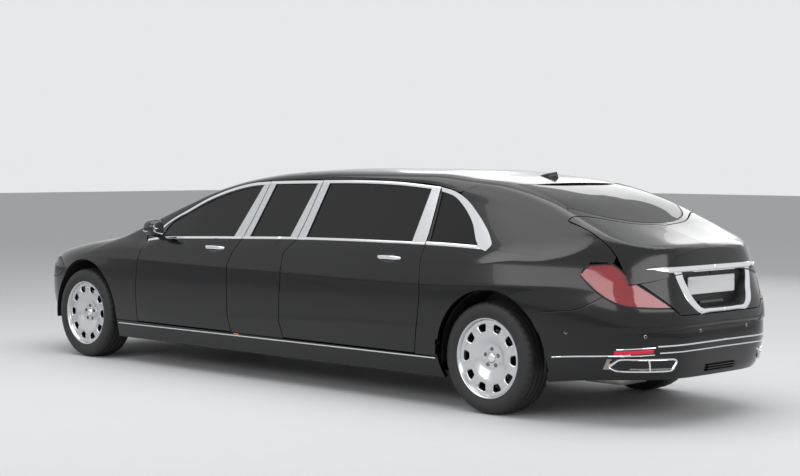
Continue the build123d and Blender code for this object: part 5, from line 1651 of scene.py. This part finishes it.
def caliper(x, z, start, stop):
    rows = []
    for a in np.radians(np.linspace(start, stop, 12)):
        section = [(0.122, 0.030), (0.190, 0.030), (0.196, 0.022), (0.196, -0.022), (0.190, -0.034),
                   (0.122, -0.034), (0.122, -0.020), (0.184, -0.020), (0.184, 0.019), (0.122, 0.019)]
        rows.append([(x + r * math.cos(a), wheelY + o, z + r * math.sin(a)) for r, o in section])
    points, faces = gridShape(np.array(rows), wrap=True)
    faces += [list(range(10))[::-1], list(range(110, 120))]
    return points, faces


addSides("brake_caliper_front", caliper(frontAxle[0], frontAxle[1], 150, 205), castMetal, "knuckle",
         bevel=0.002)
addPiece("brake_calipers_rear", pair(caliper(rearAxle[0], rearAxle[1], -25, 25)), castMetal, bevel=0.002)
print("wheels made")


# Seats

def pillow(half, power=4.0, channels=(), across=0, deep=0.006, rows=26, columns=48, crown=0.0):
    # crowned closed form with sewn channels on its upper face; channels are places along one local axis
    lat = np.linspace(-math.pi / 2 + 0.03, math.pi / 2 - 0.03, rows)[:, None]
    lon = np.linspace(0, 2 * math.pi, columns, endpoint=False)[None, :]
    d = np.stack([np.cos(lat) * np.cos(lon), np.cos(lat) * np.sin(lon),
                  np.broadcast_to(np.sin(lat), (rows, columns))], -1)
    scale = (np.abs(d) ** power).sum(-1) ** (-1 / power)
    p = d * scale[..., None]
    u, v, w = p[..., 0], p[..., 1], p[..., 2]
    pull = 1 - 0.02 * (1 - v * v) * np.abs(u) ** 4
    pullV = 1 - 0.025 * (1 - u * u) * np.abs(v) ** 4
    points = np.stack([u * half[0] * pull, v * half[1] * pullV, w * half[2]], -1)
    points[..., 2] += np.where(w > 0, crown * np.maximum(1 - u * u, 0) * np.maximum(1 - v * v, 0), 0)
    for place in channels:
        gap = points[..., across] - place
        points[..., 2] -= np.where(w > 0, deep * np.exp(-(gap / 0.007) ** 2) * np.clip(w, 0, 1), 0)
    shape = gridShape(points, wrap=True)
    top, low = (rows - 1) * columns, 0
    faces = shape[1] + [list(range(columns))[::-1], list(range(top, top + columns))]
    return shape[0], faces


def piping(half, power, z, radius=0.0035, count=48):
    t = np.linspace(0, 2 * math.pi, count, endpoint=False)
    c, s = np.cos(t), np.sin(t)
    norm = (np.abs(c) ** power + np.abs(s) ** power) ** (-1 / power)
    shrink = (1 - abs(z / half[2]) ** power) ** (1 / power)
    line = np.stack([half[0] * c * norm * shrink, half[1] * s * norm * shrink, np.full(count, z)], 1)
    return tube(line, circle(radius, 6), closed=True)


seatTable = [
    {"name": "driver_seat", "frontX": 0.9735, "facing": 1, "y": 0.405, "base": 0.290, "high": 0.21,
     "tilt": 0.22},
    {"name": "guest_seat", "frontX": 0.9735, "facing": 1, "y": -0.405, "base": 0.290, "high": 0.21,
     "tilt": 0.22},
    {"name": "rearward_seat_left", "frontX": -0.5015, "facing": -1, "y": 0.405, "base": 0.290, "high": 0.21,
     "tilt": 0.10},
    {"name": "rearward_seat_right", "frontX": -0.5015, "facing": -1, "y": -0.405, "base": 0.290, "high": 0.21,
     "tilt": 0.10},
    {"name": "lounge_seat_left", "frontX": -1.4045, "facing": 1, "y": 0.350, "base": 0.424, "high": 0.15,
     "tilt": 0.22},
    {"name": "lounge_seat_right", "frontX": -1.4045, "facing": 1, "y": -0.350, "base": 0.424, "high": 0.15,
     "tilt": 0.22},
]
seatShape = {"depth": 0.50, "back": 0.62, "thick": 0.13, "half": 0.245, "bolster": 0.036}


def placed(shape, row, x, z, tilt=0.0):
    # local x forwards, z up, leaned back by an angle and turned to the seat's facing
    turn = Matrix.Rotation(-tilt, 3, "Y")
    p = np.asarray(shape[0]) @ np.array(turn).T + (x, 0, z)
    faces = shape[1]
    if row["facing"] < 0:
        p = p * (-1, -1, 1)
    return p + (row["frontX"], row["y"], 0), faces


def makeSeat(row):
    s = seatShape
    lean = math.atan(row["tilt"])
    topZ = row["base"] + row["high"]
    wide, roll = s["half"] - 2 * s["bolster"], s["bolster"] * 1.25
    seatZ, seatTilt = topZ - 0.074, -0.045
    seat, back, head = [], [], []
    half = (s["depth"] / 2 - 0.006, wide, 0.062)
    channels = np.linspace(-0.16, 0.10, 4)
    seat.append(placed(pillow(half, 4.5, channels, 0, crown=0.010), row, -s["depth"] / 2 + 0.004,
                       seatZ, seatTilt))
    seat.append(placed(piping(half, 4.5, 0.030), row, -s["depth"] / 2 + 0.004, seatZ, seatTilt))
    for side in (-1, 1):
        bolster = pillow((s["depth"] / 2 - 0.012, roll, 0.072), 3.4, crown=0.004, rows=24,
                         columns=40)
        bolster = moved(bolster, (0, side * (s["half"] - roll), 0))
        seat.append(placed(bolster, row, -s["depth"] / 2, seatZ, seatTilt))
    high = s["back"] / 2 / math.cos(lean)
    backX = -s["depth"] - 0.045 - row["tilt"] * s["back"] / 2
    backHalf = (high - 0.008, wide, 0.055)
    rows = np.linspace(-0.20, 0.20, 5)
    turned90 = lean - math.pi / 2
    for shape in (pillow(backHalf, 4.5, rows, 0, crown=0.010), piping(backHalf, 4.5, 0.026)):
        back.append(placed(shape, row, backX, topZ + s["back"] / 2, turned90))
    for side in (-1, 1):
        bolster = pillow((high - 0.02, roll, 0.066), 3.4, crown=0.004, rows=24, columns=40)
        bolster = moved(bolster, (0, side * (s["half"] - roll), 0.006))
        back.append(placed(bolster, row, backX, topZ + s["back"] / 2, turned90))
    headX = -s["depth"] - 0.035 - row["tilt"] * (s["back"] + 0.1)
    headHalf = (0.074, 0.128, 0.040)
    for shape in (pillow(headHalf, 3.2, (0.0,), 0, deep=0.003, crown=0.006),
                  piping(headHalf, 3.2, 0.014, 0.0028)):
        head.append(placed(shape, row, headX, topZ + s["back"] + 0.114, turned90))
    shell = pillow((high - 0.012, s["half"] - 0.012, 0.030), 6.0, crown=0.0, rows=20, columns=48)
    hard = [placed(shell, row, backX - 0.058, topZ + s["back"] / 2 - 0.01, turned90)]
    posts = [placed(tube([(-0.012, y, 0), (-0.012, y, 0.12)], circle(0.006, 10), up=(1, 0, 0)), row, headX,
                    topZ + s["back"] - 0.02, lean) for y in (-0.06, 0.06)]
    low = row["base"]
    baseHalf = (s["depth"] / 2 - 0.02, s["half"] - 0.02, (row["high"] - 0.12) / 2 + 0.012)
    hard.append(placed(pillow(baseHalf, 8.0, rows=20, columns=48), row, -s["depth"] / 2,
                       low + baseHalf[2] - 0.010))
    return joined(seat), joined(back), joined(head), joined(hard), joined(posts)


for row in seatTable:
    seat, back, head, hard, posts = makeSeat(row)
    rear = "lounge" in row["name"] or "rearward" in row["name"]
    stand = {"driver_seat": "front_seats", "lounge_seat_left": "cabin_seats"}.get(row["name"], ())
    for label, shape, fill in (("cushion", seat, 0.85), ("backrest", back, 0.85), ("headrest", head, 0.9)):
        piece = addPiece(f"{row['name']}_{label}", shape, leather, stands=stand if label == "cushion" else ())
    addPiece(f"{row['name']}_shell", hard, interiorPlastic)
    addPiece(f"{row['name']}_posts", posts, chrome)
print("seats made")


# Cabin lining and kept CAD nodes

def liningGrid():
    # floor covering over the tunnel
    x = np.linspace(-1.30, 1.62, 24)
    y = np.linspace(-0.70, 0.70, 60)
    g = np.stack(np.meshgrid(x, y), -1)
    up = 0.150 * ease(-np.abs(g[..., 1]), -0.165, -0.150)
    return np.stack([g[..., 0], g[..., 1], 0.2375 + up], -1)


addPiece("floor_lining", slab(liningGrid(), 0.0015, out=(0, 0, -5)), carpet)
x = np.linspace(-1.95, 0.95, 50)
y = np.linspace(-0.55, 0.55, 24)
roofLining = liftTop(np.stack(np.meshgrid(x, y), -1), depth=0.040)
paleCloth = surface("headliner_cloth", (0.30, 0.29, 0.27), 0.95, fleck=0.12, fleckScale=300, bump=0.6,
                    bumpScale=1500)
addPiece("roof_lining", slab(roofLining, 0.006), paleCloth)

keptFinish = {
    "floor_pan": underside, "wheel_liners": blackPlastic, "bulkheads": carpet, "dashboard": interiorPlastic,
    "steering_wheel": leather, "partition_wall": interiorPlastic, "engine_block": castMetal,
    "exhaust_system": steel, "front_suspension": castMetal, "rear_suspension": castMetal,
    "knuckle_left": castMetal, "knuckle_right": castMetal,
}
for node, finish in keptFinish.items():
    for place in frame["nodes"][node].material_slots:
        place.material = finish
print("cabin made")


# Stage, light and camera

stageTable = {"pale": (0.80, 0.805, 0.815), "floor": (0.66, 0.665, 0.675), "fill": 0.55, "half": 60}


def stageSet():
    # pale surroundings for the camera, metal and glass; a softer fill for everything else
    world = bpy.context.scene.world or bpy.data.worlds.new("studio")
    bpy.context.scene.world = world
    world.use_nodes = True
    nodes, links = world.node_tree.nodes, world.node_tree.links
    shade = nodes["Background"]
    shade.inputs["Color"].default_value = (*stageTable["pale"], 1)
    path = nodes.new("ShaderNodeLightPath")
    first, second = nodes.new("ShaderNodeMath"), nodes.new("ShaderNodeMath")
    for node in (first, second):
        node.operation, node.use_clamp = "ADD", True
    links.new(path.outputs["Is Camera Ray"], first.inputs[0])
    links.new(path.outputs["Is Glossy Ray"], first.inputs[1])
    links.new(first.outputs[0], second.inputs[0])
    links.new(path.outputs["Is Transmission Ray"], second.inputs[1])
    level = nodes.new("ShaderNodeMapRange")
    level.inputs["To Min"].default_value = stageTable["fill"]
    level.inputs["To Max"].default_value = 1.0
    links.new(second.outputs[0], level.inputs["Value"])
    links.new(level.outputs["Result"], shade.inputs["Strength"])
    mesh = bpy.data.meshes.new("floor")
    s = stageTable["half"]
    mesh.from_pydata([(-s, -s, 0), (s, -s, 0), (s, s, 0), (-s, s, 0)], [], [(0, 1, 2, 3)])
    floor = bpy.data.objects.new("floor", mesh)
    bpy.context.scene.collection.objects.link(floor)
    mesh.materials.append(surface("pale_floor", stageTable["floor"], 0.8, fleck=0.02, fleckScale=8, bump=0.05,
                                  bumpScale=40))


stageSet()
lampTable = [
    {"name": "topLight", "place": (-0.5, 0.5, 6.5), "target": (0, 0, 0.8), "size": (11, 6), "power": 420},
    {"name": "sideLight", "place": (-1.0, 10.5, 4.6), "target": (0, 0, 0.8), "size": (14, 3), "power": 300},
    {"name": "rearLight", "place": (-11.0, 1.5, 4.6), "target": (-3, 0, 0.9), "size": (8, 3), "power": 220},
    {"name": "farLight", "place": (3.0, -10.5, 5.0), "target": (0, 0, 0.8), "size": (12, 3), "power": 200},
]
for row in lampTable:
    light = bpy.data.lights.new(row["name"], "AREA")
    light.shape, light.size, light.size_y = "RECTANGLE", row["size"][0], row["size"][1]
    light.energy = row["power"]
    holder = bpy.data.objects.new(row["name"], light)
    bpy.context.scene.collection.objects.link(holder)
    holder.location = row["place"]
    holder.rotation_mode = "QUATERNION"
    holder.rotation_quaternion = (Vector(row["place"]) - Vector(row["target"])).to_track_quat("Z", "Y")

camera = bpy.data.objects.new("camera", bpy.data.cameras.new("camera"))
bpy.context.scene.collection.objects.link(camera)
bpy.context.scene.camera = camera
camera.location = (-9.00673, 8.86646, 1.63406)
yaw, pitch, roll = math.radians(-45.7608), math.radians(-2.7009), math.radians(0.1734)
forward = Vector((math.cos(pitch) * math.cos(yaw), math.cos(pitch) * math.sin(yaw), math.sin(pitch)))
camera.rotation_mode = "QUATERNION"
camera.rotation_quaternion = (forward.to_track_quat("-Z", "Y").to_matrix()
                              @ Matrix.Rotation(roll, 3, "Z")).to_quaternion()
camera.data.sensor_width = 36
camera.data.lens = 74.31
camera.data.clip_end = 200
bpy.context.scene.view_settings.view_transform = "Standard"

print("scene ready")
